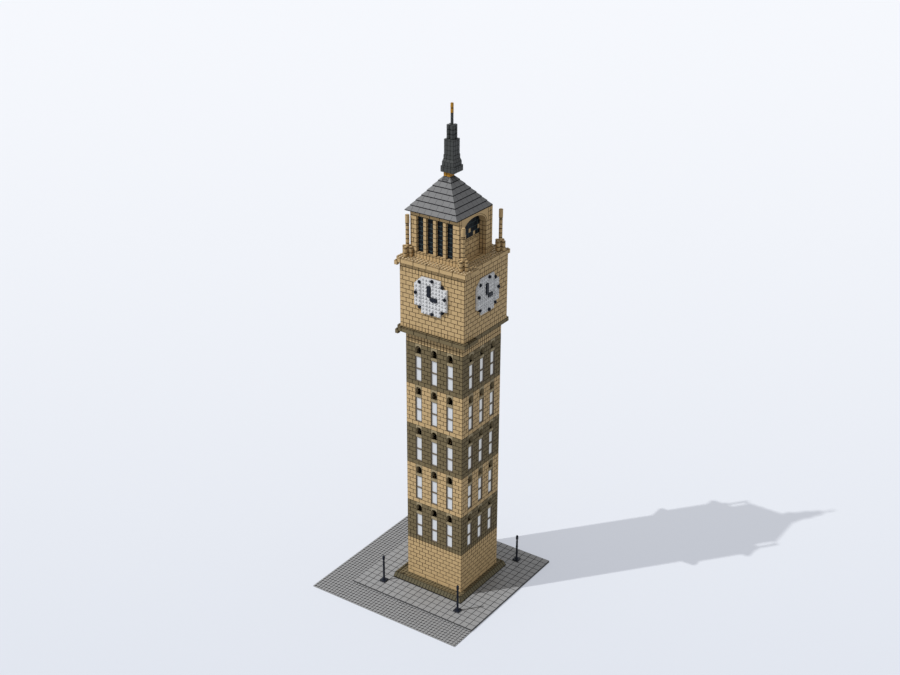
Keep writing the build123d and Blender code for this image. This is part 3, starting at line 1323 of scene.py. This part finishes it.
@dataclass
class Cornice:
    """A course that stands out a stud all round, but for one stretch and one corner."""

    site: Site
    node: str
    finish: Finish
    stud_finish: Finish
    half: int = 10
    flush_from: int = -5
    corner_drop: float = 2 * PLATE
    slab: int = 4

    def build(self) -> None:
        """Lay the outer rows, the slab inside them and the corner piece that hangs lower."""
        z = self.site.top(self.node) - BRICK
        axis = self.site.axis
        half, edge = self.half, self.half + 1
        course = Layout(f"{self.node}_bricks", self.finish)
        rows = {
            Side.FRONT: [(-half, 1 - half)] + spans(1 - half, edge, 4, edge),
            Side.RIGHT: [(-half, 1 - half), (1 - half, self.flush_from)],
            Side.BACK: spans(-half, edge, 4, edge),
            Side.LEFT: spans(-half, half, 4, half),
        }
        for side, pieces in rows.items():
            Face(side, axis).course(course, pieces, edge, z, edge=WIDE_EDGE)
        inner = half // self.slab
        pitch = self.slab * STUD
        for i in range(-inner, inner + 1):
            for j in range(-inner, inner + 1):
                course.add(Stock.block(self.slab, self.slab), (axis.x + i * pitch, axis.y + j * pitch, z))
        reach = (half + 0.5) * STUD
        corner = (axis.x - reach, axis.y - reach)
        course.add(Stock.block(1), (*corner, z - self.corner_drop))
        course.lay(self.node)
        # The terrace gives these studs a lighter copy of tan, a painted highlight.
        studs = Layout(f"{self.node}_studs", self.stud_finish)
        for i in range(-edge, edge):
            for j in range(-edge, edge):
                x, y = i + 0.5, j + 0.5
                if self.bare(x, y):
                    # Half-dark sides: painted shade round each stud.
                    studs.add(Stock.knob(0.5), (axis.x + x * STUD, axis.y + y * STUD, z + BRICK))
        studs.add(Stock.knob(), (*corner, z + BRICK - self.corner_drop))
        studs.lay()

    def bare(self, x: float, y: float) -> bool:
        """Whether a stud of the cornice shows.

        Args:
            x: Place of the stud from the axis, in studs.
            y: The same, the other way.

        Returns:
            True where the course is there and nothing stands on it.
        """
        flush = x > self.half and y > self.flush_from
        dropped = x < -self.half and y < -self.half
        return not flush and not dropped and not self.taken(x, y)

    def taken(self, x: float, y: float) -> bool:
        """Whether the clock room stands on a stud."""
        return abs(x) < self.half and abs(y) < self.half


@dataclass
class Terrace(Cornice):
    """The upper cornice, whose studs show all round the belfry."""

    belfry: Span = (-8, 7)
    pinnacle: float = 8.5
    crown: float = 1.2

    def taken(self, x: float, y: float) -> bool:
        """Whether the belfry or a pinnacle stands on a stud.

        Args:
            x: Place of the stud from the axis, in studs.
            y: The same, the other way.

        Returns:
            True where something stands.
        """
        low, high = self.belfry
        from_pinnacle = abs(abs(x) - self.pinnacle) + abs(abs(y) - self.pinnacle)
        return (low < x < high and low < y < high) or from_pinnacle < self.crown


# ---------------------------------------------------------------- clock room
@dataclass
class ClockRoom:
    """Clock room of running bond, with rows of single bricks near its foot and top."""

    site: Site
    half: int = 10
    courses: int = 15
    single: tuple[int, ...] = (0, 13)

    def build(self) -> None:
        """Lay the four walls."""
        z = self.site.foot("clock_front_wall")
        for side in Side:
            wall = Layout(f"clock_room_{side.label}_bricks", Finish.TAN)
            for n in range(self.courses):
                reach = self.half if n % 2 == side.value % 2 else self.half - 1
                pieces = spans(-reach, reach, 1 if n in self.single else 2, reach)
                Face(side, self.site.axis).course(wall, pieces, self.half, z + n * BRICK)
            wall.lay(f"clock_{side.label}_wall")


@dataclass
class Dial:
    """White studded dial of plates on each side, with round markers and flat black hands.

    A plate is its width and height in studs, and its middle right of and above the dial's.
    """

    site: Site
    half: int = 10
    reach: int = 5
    core: int = 3
    mark_side: float = 0.5
    mark_near: float = 3.5
    mark_far: float = 4.5
    flank_depth: float = 1.5 * PLATE
    joint: float = 0.2 * MM
    disc_radius: float = 3.7 * MM
    soft_edge: float = 0.3 * MM
    plates: tuple[tuple[int, int, float, float], ...] = (
        (2, 2, -2, -4),
        (4, 2, 1, -4),
        (2, 2, -2, -2),
        (4, 2, 1, -2),
        (3, 1, -1.5, -0.5),
        (1, 1, 2.5, -0.5),
        (2, 3, -2, 1.5),
        (3, 3, 1.5, 1.5),
        (6, 2, 0, 4),
    )
    hands: tuple[tuple[int, int, float, float], ...] = ((1, 3, -0.5, 1.5), (2, 1, 1, -0.5))

    def build(self) -> None:
        """Lay the plates, studs, markers and hands of the four dials."""
        low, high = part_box("clock_dial_front")
        self.centre = (low.z + high.z) / 2
        for side in Side:
            self._plates(side)
        self._marks()

    def _put(self, layout: Layout, kind: Object, side: Side, u: float, v: float, out: float = 0.0) -> None:
        """Set a piece on the dial with its top facing outwards.

        Args:
            layout: The layout that takes the piece.
            kind: The stock piece.
            side: Side of the tower.
            u: Studs to the right of the dial's centre.
            v: Studs above it.
            out: Distance of the piece's foot from the wall.
        """
        height = self.centre + v * STUD
        Face(side, self.site.axis).put(layout, kind, u * STUD, self.half * STUD + out, height, QUARTER)

    def _hand(self, u: float, v: float) -> bool:
        """Whether a stud's place belongs to a hand."""
        return any(abs(u - x) < long / 2 and abs(v - y) < high / 2 for long, high, x, y in self.hands)

    def _mark_spots(self) -> list[tuple[float, float, float]]:
        """Places of the markers: right, up, and foot above the wall.

        Returns:
            The three of each marker.
        """
        side, near, far, flank = self.mark_side, self.mark_near, self.mark_far, self.flank_depth
        corners = [(x * near, y * near, flank - PLATE) for x, y in CORNERS]
        return corners + [(side, far, PLATE), (side, -far, PLATE), (far, side, flank), (-far, side, flank)]

    def _plates(self, side: Side) -> None:
        """Lay the white plates and their studs.

        Args:
            side: Side of the tower.
        """
        plates = Layout(f"dial_{side.label}_plates", Finish.DIAL)
        for long, high, u, v in self.plates:
            self._put(plates, Stock.block(long, high, PLATE, self.joint), side, u, v)
        outer = self.core + 1
        for u in (-outer, outer):
            for v in (-2, 0, 2):
                self._put(plates, Stock.block(2, 2, self.flank_depth, self.joint), side, u, v)
        self._put(plates, Stock.get("wedge", self._wedge), side, -outer, outer)
        plates.lay(f"clock_dial_{side.label}")
        studs = Layout(f"dial_{side.label}_studs", Finish.DIAL)
        marks = [(u, v) for u, v, _ in self._mark_spots()]
        for i in range(-self.reach, self.reach):
            for j in range(-self.reach, self.reach):
                u, v = i + 0.5, j + 0.5
                flank = abs(u) > self.core
                if (flank and abs(v) > self.core) or self._hand(u, v) or (u, v) in marks:
                    continue
                self._put(studs, Stock.knob(0), side, u, v, self.flank_depth if flank else PLATE)
        studs.lay()

    def _wedge(self, name: str) -> Object:
        """Model the three-cornered plate: a square one with its outer corner cut away.

        Args:
            name: Name of the piece.

        Returns:
            The stock piece.
        """
        piece = Bench.box(name, (2 * STUD - GAP, 2 * STUD - GAP, PLATE))
        with Bench.editing(piece):
            bpy.ops.mesh.select_all(action="SELECT")
            bpy.ops.mesh.bisect(plane_co=(0, 0, 0), plane_no=(-1, 1, 0), use_fill=True, clear_outer=True)
        return Bench.soften(piece, self.soft_edge)

    def _disc(self, name: str) -> Object:
        """Model the round plate of an hour marker."""
        return Bench.smooth(Bench.soften(Bench.drum(name, self.disc_radius, PLATE), self.soft_edge))

    def _marks(self) -> None:
        """Set the round hour markers and the two hands of every dial."""
        marks = Layout("dial_markers", Finish.INK)
        hands = Layout("dial_hands", Finish.INK)
        for side in Side:
            for u, v, out in self._mark_spots():
                self._put(marks, Stock.get("disc", self._disc), side, u, v, out)
                self._put(marks, Stock.knob(), side, u, v, out + PLATE)
            for long, high, u, v in self.hands:
                self._put(hands, Stock.block(long, high, 2 * PLATE, self.joint), side, u, v)
        marks.lay("hour_markers")
        hands.lay("clock_hands")


# ---------------------------------------------------------------- belfry
@dataclass
class Belfry:
    """Belfry of tall slots between square columns, and a deep arched recess on two sides."""

    site: Site
    half: float = 7.5
    bay: float = 5.5
    sill: float = 4 * PLATE
    slot_courses: int = 8
    columns: tuple[int, int, int] = (-3, 0, 3)
    recess: Span = (-5.5, 4.5)
    arch_studs: int = 12
    arch_courses: int = 3
    arch_rise: float = 7 * PLATE
    edge: float = 0.4 * MM
    ring_width: float = 3.6 * MM
    ring_bar: float = 2.0 * MM
    ring_forward: float = 0.5 * MM
    screen_bricks: int = 4
    screen_plates: int = 2
    bright: tuple[tuple[float, int], ...] = ((-4, 1), (-2, 0), (0, 1), (2, 0), (4, 1))
    proud: float = 0.02
    lining_in: float = 0.7

    def build(self) -> None:
        """Lay the walls, columns, arches, screens and the black lining."""
        self.foot = self.site.top("upper_cornice")
        self.top = self.site.foot("roof")
        for side in (Side.FRONT, Side.BACK):
            self._slotted(Face(side, self.site.belfry))
        self._columns()
        for side in (Side.RIGHT, Side.LEFT):
            self._arched(Face(side, self.site.belfry))
        self._lining()

    @property
    def screen_high(self) -> float:
        """Height of the screen's plain part."""
        return self.screen_bricks * BRICK + self.screen_plates * PLATE

    def _level(self, course: int) -> float:
        """Height of a course above the sill."""
        return self.foot + self.sill + course * BRICK

    def _slotted(self, face: Face) -> None:
        """Lay the sill, piers and lintel of a slotted side.

        Args:
            face: Side of the tower.
        """
        label, reach = face.side.label, self.half
        wall = Layout(f"belfry_{label}_bricks", Finish.TAN)
        for z, high in ((self.foot, BRICK), (self.foot + BRICK, PLATE)):
            face.course(wall, spans(-reach, reach, 1, 0.5), reach, z, high)
        for n in range(self.slot_courses):
            for start, stop in ((-reach, -self.bay), (self.bay, reach)):
                pieces = [(start, stop)] if n % 2 else spans(start, stop, 1, start)
                face.course(wall, pieces, reach, self._level(n))
        face.course(wall, spans(-reach, reach, 3, 1.5), reach, self._level(self.slot_courses))
        wall.lay(f"belfry_{label}_wall")

    def _columns(self) -> None:
        """Stack the single bricks of the columns."""
        stack = Layout("belfry_column_bricks", Finish.TAN)
        for side in (Side.FRONT, Side.BACK):
            face = Face(side, self.site.belfry)
            for u in self.columns:
                for n in range(self.slot_courses):
                    face.put(stack, Stock.block(1), u * STUD, (self.half - 0.5) * STUD, self._level(n))
        stack.lay("belfry_columns")

    def _oval(self, name: str, grow: float, deep: float, forward: float) -> Object:
        """Shape a lying oval bar, half of which cuts the arch or the ring round it.

        Args:
            name: Name of the bar.
            grow: How much wider and higher it is than the opening.
            deep: Its length, from front to back.
            forward: How far its middle is in front of the brick's.

        Returns:
            The bar.
        """
        span = (self.recess[1] - self.recess[0]) * STUD / 2
        bar = Bench.drum(name, 1.0, deep, -deep / 2, ARCH_SIDES)
        with Bench.editing(bar):
            bpy.ops.mesh.select_all(action="SELECT")
            Bench.stretch(span + grow, self.arch_rise + grow)
            bpy.ops.transform.rotate(value=QUARTER, orient_axis="X", center_override=(0, 0, 0))
            bpy.ops.transform.translate(value=(0, -forward, 0))
        return bar

    def _arch(self, name: str) -> Object:
        """Model the arch brick: a long block with a flat round opening and a ring round it.

        Args:
            name: Name of the piece.

        Returns:
            The stock piece.
        """
        size = (self.arch_studs * STUD - GAP, 2 * STUD - GAP, self.arch_courses * BRICK)
        piece = Bench.box(name, size)
        opening = self._oval("opening", 0, 3 * STUD, 0)
        ring = self._oval("ring", self.ring_width, self.ring_bar, STUD + self.ring_forward)
        Bench.cut(piece, opening, ring)
        return Bench.smooth(Bench.soften(piece, self.edge, 40))

    def _arched(self, face: Face) -> None:
        """Lay the piers, arch and screen of an arched side.

        Args:
            face: Side of the tower.
        """
        label = face.side.label
        sign = 1 if face.side is Side.RIGHT else -1
        inner = self.half - 1

        def lie(start: float, stop: float) -> Span:
            """A run as it lies on this side, mirrored on the left one."""
            return min(sign * start, sign * stop), max(sign * start, sign * stop)

        wall = Layout(f"belfry_{label}_bricks", Finish.TAN)
        crown = self.slot_courses + 1 - self.arch_courses
        levels = [(self.foot, BRICK), (self.foot + BRICK, PLATE)]
        levels += [(self._level(n), BRICK) for n in range(crown)]
        for number, (z, high) in enumerate(levels):
            for low, up in (lie(-inner, self.recess[0]), lie(self.recess[1], inner)):
                for depth in range(2):
                    pieces = spans(low, up, 2 if (number + depth) % 2 else 1, low)
                    face.course(wall, pieces, self.half - depth, z, high)
        for n in range(crown, crown + self.arch_courses):
            for depth in range(2):
                face.course(wall, [lie(self.recess[1] + 1, inner)], self.half - depth, self._level(n))
        wall.lay(f"belfry_{label}_wall")
        arch = Layout(f"belfry_{label}_arch_brick", Finish.TAN)
        middle = sign * (self.recess[0] + self.recess[1]) / 2 * STUD
        face.put(arch, Stock.get("belfry_arch", self._arch), middle, inner * STUD, self._level(crown))
        arch.lay(f"belfry_{label}_arch")
        screen = Layout(f"belfry_{label}_screen_bricks", Finish.TAN)
        low, up = lie(*self.recess)
        depth = self.half - 2
        for n in range(self.screen_bricks):
            face.course(screen, spans(low, up, 2, low + n % 2), depth, self.foot + n * BRICK)
        for n in range(self.screen_plates):
            z = self.foot + self.screen_bricks * BRICK + n * PLATE
            face.course(screen, spans(low, up, 2, low), depth, z, PLATE)
        for u, row in self.bright:
            z = self.foot + self.screen_high + row * BRICK
            face.course(screen, [lie(u - 0.5, u + 0.5)], depth + self.proud, z)
        screen.lay(f"belfry_{label}_screen")

    def _lining(self) -> None:
        """Lay the black wall behind the slots and above the screens."""
        lining = Layout("belfry_black_bricks", Finish.BLACK)
        tall = self.top - self.foot
        reach = self.half - 2
        for side in Side:
            slotted = side.value % 2 == 0
            depth = self.half - (self.lining_in if slotted else 2)
            z = 0.0 if slotted else self.screen_high
            n = 0
            while z < tall - GAP:
                high = BRICK if tall - z > BRICK - GAP else PLATE
                pieces = spans(-reach, reach, 2, reach - n % 2)
                face = Face(side, self.site.belfry)
                face.course(lining, pieces, depth, self.foot + z, high, self.edge)
                z += high
                n += 1
        lining.lay("belfry_lining")


# ---------------------------------------------------------------- pinnacles
@dataclass
class Pinnacles:
    """Corner pinnacles of stacked round bricks, each in a crown of four small turrets."""

    site: Site
    offset: float = 8.5
    bricks: int = 7
    turret_bricks: int = 2
    cap_radius: float = 4.4 * MM
    cap_neck: float = 0.8 * MM

    def build(self) -> None:
        """Stack the posts and their turrets."""
        foot = self.site.top("upper_cornice")
        posts = Layout("pinnacle_post_bricks", Finish.TAN)
        turrets = Layout("pinnacle_turret_bricks", Finish.TAN)
        cap = Stock.round_brick(self.cap_radius, 2 * BRICK, self.cap_neck)
        for across, along in CORNERS:
            x = self.site.axis.x + across * self.offset * STUD
            y = self.site.axis.y + along * self.offset * STUD
            top = self._stack(posts, x, y, foot, self.bricks)
            posts.add(cap, (x, y, top))
            for dx, dy in ((1, 0), (-1, 0), (0, 1), (0, -1)):
                self._stack(turrets, x + dx * STUD, y + dy * STUD, foot, self.turret_bricks)
        posts.lay("pinnacle_posts")
        turrets.lay("pinnacle_turrets")

    @staticmethod
    def _stack(layout: Layout, x: float, y: float, foot: float, count: int) -> float:
        """Stack round bricks, with a round plate on top.

        Args:
            layout: The layout that takes them.
            x: Place of the stack.
            y: The same, the other way.
            foot: Height of its foot.
            count: Number of bricks.

        Returns:
            Height of its top.
        """
        for n in range(count):
            layout.add(Stock.round_brick(), (x, y, foot + n * BRICK))
        layout.add(Stock.round_brick(high=PLATE), (x, y, foot + count * BRICK))
        return foot + count * BRICK + PLATE


# ---------------------------------------------------------------- roof
@dataclass
class Roof:
    """Roof of seven rows of slopes, each row a stud in from the one below."""

    site: Site
    half: int = 8
    rows: int = 7

    def build(self) -> None:
        """Lay the rows, with a corner slope at each end of a side."""
        foot = self.site.foot("roof")
        slopes = Layout("roof_slopes", Finish.SLATE)
        for row in range(self.rows):
            half = self.half - row
            z = foot + row * BRICK
            for side in Side:
                face = Face(side, self.site.roof)
                for start, stop in spans(2 - half, half - 2, 2, half):
                    face.put(slopes, Stock.slope(2), (start + stop) / 2 * STUD, (half - 0.5) * STUD, z)
                face.put(slopes, Stock.slope(2, True), (1 - half) * STUD, (half - 1) * STUD, z)
        slopes.lay("roof")


@dataclass
class Spire:
    """Spire of stepped tiers, a head of four round stacks, a rod and a gold finial."""

    site: Site
    foot: float = 16.4 * MM
    shoulder: float = 14.4 * MM
    waist: float = 12.2 * MM
    shaft: float = 11.4 * MM
    shoulder_high: float = 8.0 * MM
    taper_high: float = 6.4 * MM
    tier_gap: float = 0.05 * MM
    tier_edge: float = 0.45 * MM
    ring_neck: float = 0.35 * MM
    head_radius: float = 4.5 * MM
    rod_radius: float = 3.0 * MM
    finial_radius: float = 3.2 * MM

    def build(self) -> None:
        """Stack the tiers, from the gold collar up."""
        self._collar()
        self._tiers()
        self._stacks("spire_head_bricks", "spire_head", Finish.SPIRE, self.head_radius, 3, self.head_radius)
        self._stacks("spire_rod_rings", "spire_rod", Finish.SPIRE, self.rod_radius, 2)
        self._stacks("finial_rings", "finial", Finish.GOLD, self.finial_radius, 2)

    def _collar(self) -> None:
        """Lay the four gold bricks under the spire."""
        gold = Layout("collar_bricks", Finish.GOLD)
        middle = self.site.middle("gold_collar")
        for x, y in CORNERS:
            place = (middle.x + x * STUD / 2, middle.y + y * STUD / 2, self.site.foot("gold_collar"))
            gold.add(Stock.block(1), place)
        gold.lay("gold_collar")

    def _tier(self, half: float, count: int, high: float, top: float | None = None) -> Object:
        """Model one course of a tier, as a square of bricks.

        Args:
            half: Half the tier's width.
            count: Bricks along a side.
            high: Height of the course.
            top: Half its width at the top, where it slopes in.

        Returns:
            The stock piece.
        """
        unit = 2 * half / count
        size = (unit - self.tier_gap, unit - self.tier_gap, high - self.tier_gap)

        def make(name: str) -> Object:
            """Model the bricks as one piece, and slope it in if it has a narrower top.

            Args:
                name: Name of the piece.

            Returns:
                The stock piece.
            """
            bricks = []
            for i in range(count):
                for j in range(count):
                    foot = ((i + 0.5) * unit - half, (j + 0.5) * unit - half, 0)
                    bricks.append(Bench.box(name, size, foot))
            piece = Bench.join(name, bricks)
            if top:
                with Bench.editing(piece) as pick:
                    pick("verts", lambda vert: vert.co.z > high / 2)
                    Bench.stretch(top / half, top / half)
            return Bench.soften(piece, self.tier_edge)

        return Stock.get(f"tier_{half:.5f}_{high:.5f}", make)

    def _tiers(self) -> None:
        """Lay the courses of the base and the body."""
        base = Layout("spire_base_bricks", Finish.SPIRE)
        body = Layout("spire_body_bricks", Finish.SPIRE)
        courses = [
            (base, self.foot, 4, BRICK, None),
            (base, self.foot, 4, PLATE, None),
            (base, self.shoulder, 4, self.shoulder_high, None),
            (base, self.shoulder, 3, self.taper_high, self.waist),
            (body, self.waist, 3, self.shoulder_high, None),
            *[(body, self.shaft, 3, BRICK, None)] * 3,
            (body, self.shaft, 3, PLATE, None),
        ]
        z = self.site.foot("spire_base")
        for layout, half, count, high, top in courses:
            layout.add(self._tier(half, count, high, top), (self.site.spire.x, self.site.spire.y, z))
            z += high
        base.lay("spire_base")
        body.lay("spire_body")

    def _stacks(
        self, name: str, node: str, finish: Finish, radius: float, count: int, spread: float = 0.0
    ) -> None:
        """Stack round bricks to the height of a solid.

        Args:
            name: Name of the piece.
            node: The solid that it stands for.
            finish: Its finish.
            radius: Radius of a brick.
            count: Bricks in a stack.
            spread: Distance of a stack's axis from the middle, each way, or none for one stack.
        """
        stack = Layout(name, finish)
        foot = self.site.foot(node)
        high = (self.site.top(node) - foot) / count
        middle = self.site.middle(node)
        for x, y in CORNERS if spread else ((0, 0),):
            for n in range(count):
                place = (middle.x + x * spread, middle.y + y * spread, foot + n * high)
                stack.add(Stock.round_brick(radius, high, self.ring_neck), place)
        stack.lay(node)


@dataclass
class Lamps:
    """Four turned lamp posts, each on a square foot."""

    site: Site
    foot_width: float = 14.4 * MM
    foot_edge: float = 0.4 * MM
    socket: float = 3.6 * MM
    socket_high: float = 4.5 * MM
    post: float = 2.3 * MM
    post_from: float = 6.5 * MM
    ring: float = 2.8 * MM
    ring_high: float = 1.4 * MM
    ring_edge: float = 0.15 * MM
    rings: tuple[float, float] = (0.36, 0.68)
    throat: float = 1.7 * MM
    throat_high: float = 3.0 * MM
    head: float = 2.9 * MM
    head_high: float = 14.0 * MM
    head_slope: float = 1.0 * MM
    tip: float = 1.6 * MM
    rise: float = 3.0 * MM

    def build(self) -> None:
        """Set a foot and a turned post at each of the four places."""
        low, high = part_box("lamp_feet")
        feet = Layout("lamp_foot_plates", Finish.INK)
        posts = Layout("lamp_turned_posts", Finish.INK)
        for x in (low.x + STUD, high.x - STUD):
            for y in (low.y + STUD, high.y - STUD):
                feet.add(Stock.get("lamp_foot", self._foot), (x, y, low.z))
                posts.add(Stock.get("lamp_post", self._post), (x, y, low.z))
        feet.lay("lamp_feet")
        posts.lay("lamp_posts", "lamp_heads")

    def _foot(self, name: str) -> Object:
        """Model the square foot of a lamp."""
        size = (self.foot_width, self.foot_width, PLATE)
        return Bench.soften(Bench.box(name, size), self.foot_edge)

    def _post(self, name: str) -> Object:
        """Model a lamp: a socket, a post with two rings, a throat and the lamp's head.

        Args:
            name: Name of the piece.

        Returns:
            The stock piece.
        """
        tall = self.site.top("lamp_heads") - self.site.foot("lamp_feet") + self.rise
        neck = tall - self.head_high
        line = [(self.socket, 0), (self.socket, self.socket_high), (self.post, self.post_from)]
        for share in self.rings:
            low, up = share * neck, share * neck + self.ring_high
            line += [(self.post, low), (self.ring, low), (self.ring, up), (self.post, up)]
        line += [(self.post, neck), (self.throat, neck), (self.throat, neck + self.throat_high)]
        line += [(self.head, neck + self.throat_high + self.head_slope)]
        line += [(self.head, tall - self.tip), (self.tip, tall)]
        return Bench.smooth(Bench.soften(Bench.turned(name, line), self.ring_edge, 60))


# ---------------------------------------------------------------- studio
@dataclass
class Studio:
    """Pale floor, soft light and the camera."""

    target: Vector = field(default_factory=lambda: Vector((0.02245, 0.032, 0.58611)))
    azimuth: float = 34.602
    elevation: float = 25.078
    distance: float = 3.00656
    lens: float = 57.198
    sensor: float = 36.0
    sight: float = 100.0
    roll: float = 0.225
    sun_bearing: tuple[float, float] = (-0.633, -0.774)
    backdrop: Colour = (0.87, 0.88, 0.90)
    floor_width: float = 60.0
    floor_colour: Colour = (0.38, 0.39, 0.40)
    near_glow: Colour = (0.287, 0.309, 0.37)
    far_glow: Colour = (0.47, 0.474, 0.50)
    fade: float = 0.621
    near_edge: float = 0.6
    sky: float = 0.65
    sky_seen: float = 1.08
    sun: float = 2.69
    sun_softness: float = 0.6
    sun_height: float = 48.25
    slope_sun_height: float = 22.0
    sloped: tuple[tuple[str, float, float], ...] = (("roof_slopes", 3.3, 30.0), ("plinth_course", 2.1, 60.0))

    def build(self) -> None:
        """Set up the floor, lights, world and camera."""
        self._floor()
        self._world()
        meshes = [piece for piece in bpy.context.scene.objects if piece.type == "MESH"]
        sloped = {name for name, _, _ in self.sloped}
        others = [piece for piece in meshes if piece.name not in sloped]
        self._sun("key", self.sun, self.sun_softness, self.sun_height, others)
        for name, strength, softness in self.sloped:
            self._sun(f"{name}_key", strength, softness, self.slope_sun_height, [bpy.data.objects[name]])
        self._camera()

    def _floor(self) -> None:
        """Lay a wide pale floor that keeps the shadow."""
        Bench.clear()
        bpy.ops.mesh.primitive_plane_add(size=self.floor_width, location=(0, 0, -GAP / 2))
        floor = bpy.context.object
        floor.name = "studio_floor"
        bpy.ops.object.transform_apply(location=True, rotation=True, scale=True)
        floor.data.materials.append(self._floor_surface(Graph(bpy.data.materials.new("floor"))))

    def _floor_surface(self, graph: Graph) -> Material:
        """A matt floor that is seen lighter than it lights the tower, most of all at the back.

        Args:
            graph: The floor's empty graph.

        Returns:
            The floor's material.
        """
        place = graph.node("ShaderNodeTexCoord", {}, {}, "Object")
        bearing = math.radians(self.azimuth)
        way = (-math.sin(bearing), math.cos(bearing), 0)
        along = graph.node("ShaderNodeVectorMath", {"operation": "DOT_PRODUCT"}, {0: place, 1: way}, "Value")
        far = 1.0 - self.fade ** (along + self.near_edge)
        graded = graph.blend(far, self.near_glow, self.far_glow)
        return graph.surface(
            {
                "Base Color": (*self.floor_colour, 1.0),
                "Roughness": 1.0,
                "Specular IOR Level": 0.0,
                "Emission Color": graph.blend(graph.seen(), (0, 0, 0), graded),
                "Emission Strength": 1.0,
            }
        )

    def _world(self) -> None:
        """Even pale light from all round, seen as a backdrop that is paler still."""
        world = bpy.data.worlds.new("studio")
        bpy.context.scene.world = world
        graph = Graph(world)
        strength = self.sky + graph.seen() * (self.sky_seen - self.sky)
        inputs = {"Color": (*self.backdrop, 1), "Strength": strength}
        shade = graph.node("ShaderNodeBackground", {}, inputs)
        graph.node("ShaderNodeOutputWorld", {}, {"Surface": shade})

    def _sun(self, name: str, strength: float, softness: float, height: float, lit: list[Object]) -> None:
        """A key light from the front left that falls on some of the pieces only.

        Args:
            name: Name of the light.
            strength: Its strength.
            softness: Angle that it fills, in degrees.
            height: Its angle above the floor, in degrees.
            lit: The pieces that it falls on.
        """
        light = bpy.data.lights.new(name, "SUN")
        light.energy = strength
        light.angle = math.radians(softness)
        lamp = bpy.data.objects.new(name, light)
        bpy.context.scene.collection.objects.link(lamp)
        level = Vector((*self.sun_bearing, 0)).normalized() * math.cos(math.radians(height))
        toward = Vector((level.x, level.y, math.sin(math.radians(height))))
        lamp.rotation_euler = toward.to_track_quat("Z", "Y").to_euler()
        group = bpy.data.collections.new(f"{name}_lit")
        for piece in lit:
            group.objects.link(piece)
        lamp.light_linking.receiver_collection = group

    def _camera(self) -> None:
        """Stand the camera above and to the right of the front corner."""
        across, up = math.radians(self.azimuth), math.radians(self.elevation)
        back = Vector((math.sin(across) * math.cos(up), -math.cos(across) * math.cos(up), math.sin(up)))
        data = bpy.data.cameras.new("camera")
        data.lens = self.lens
        data.sensor_width = self.sensor
        data.clip_end = self.sight
        camera = bpy.data.objects.new("camera", data)
        bpy.context.scene.collection.objects.link(camera)
        camera.location = self.target + back * self.distance
        level = back.to_track_quat("Z", "Y")
        camera.rotation_euler = (level @ Quaternion((0, 0, 1), math.radians(self.roll))).to_euler()
        bpy.context.scene.camera = camera


def main() -> None:
    """Build the sub-assemblies in order and the studio round them."""
    logging.basicConfig(level=logging.INFO, format="%(message)s")
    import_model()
    bpy.context.scene.view_settings.view_transform = "Standard"
    site = Site()
    assemblies = (
        Stand(),
        Plinth(),
        Shaft(site),
        Neck(site),
        Cornice(site, "lower_cornice", Finish.DARK_TAN, Finish.DARK_TAN),
        ClockRoom(site),
        Dial(site),
        Terrace(site, "upper_cornice", Finish.TAN, Finish.BRIGHT_TAN),
        Belfry(site),
        Pinnacles(site),
        Roof(site),
        Spire(site),
        Lamps(site),
    )
    for assembly in assemblies:
        assembly.build()
    Stock.clear()
    Studio().build()


if __name__ == "__main__":
    main()
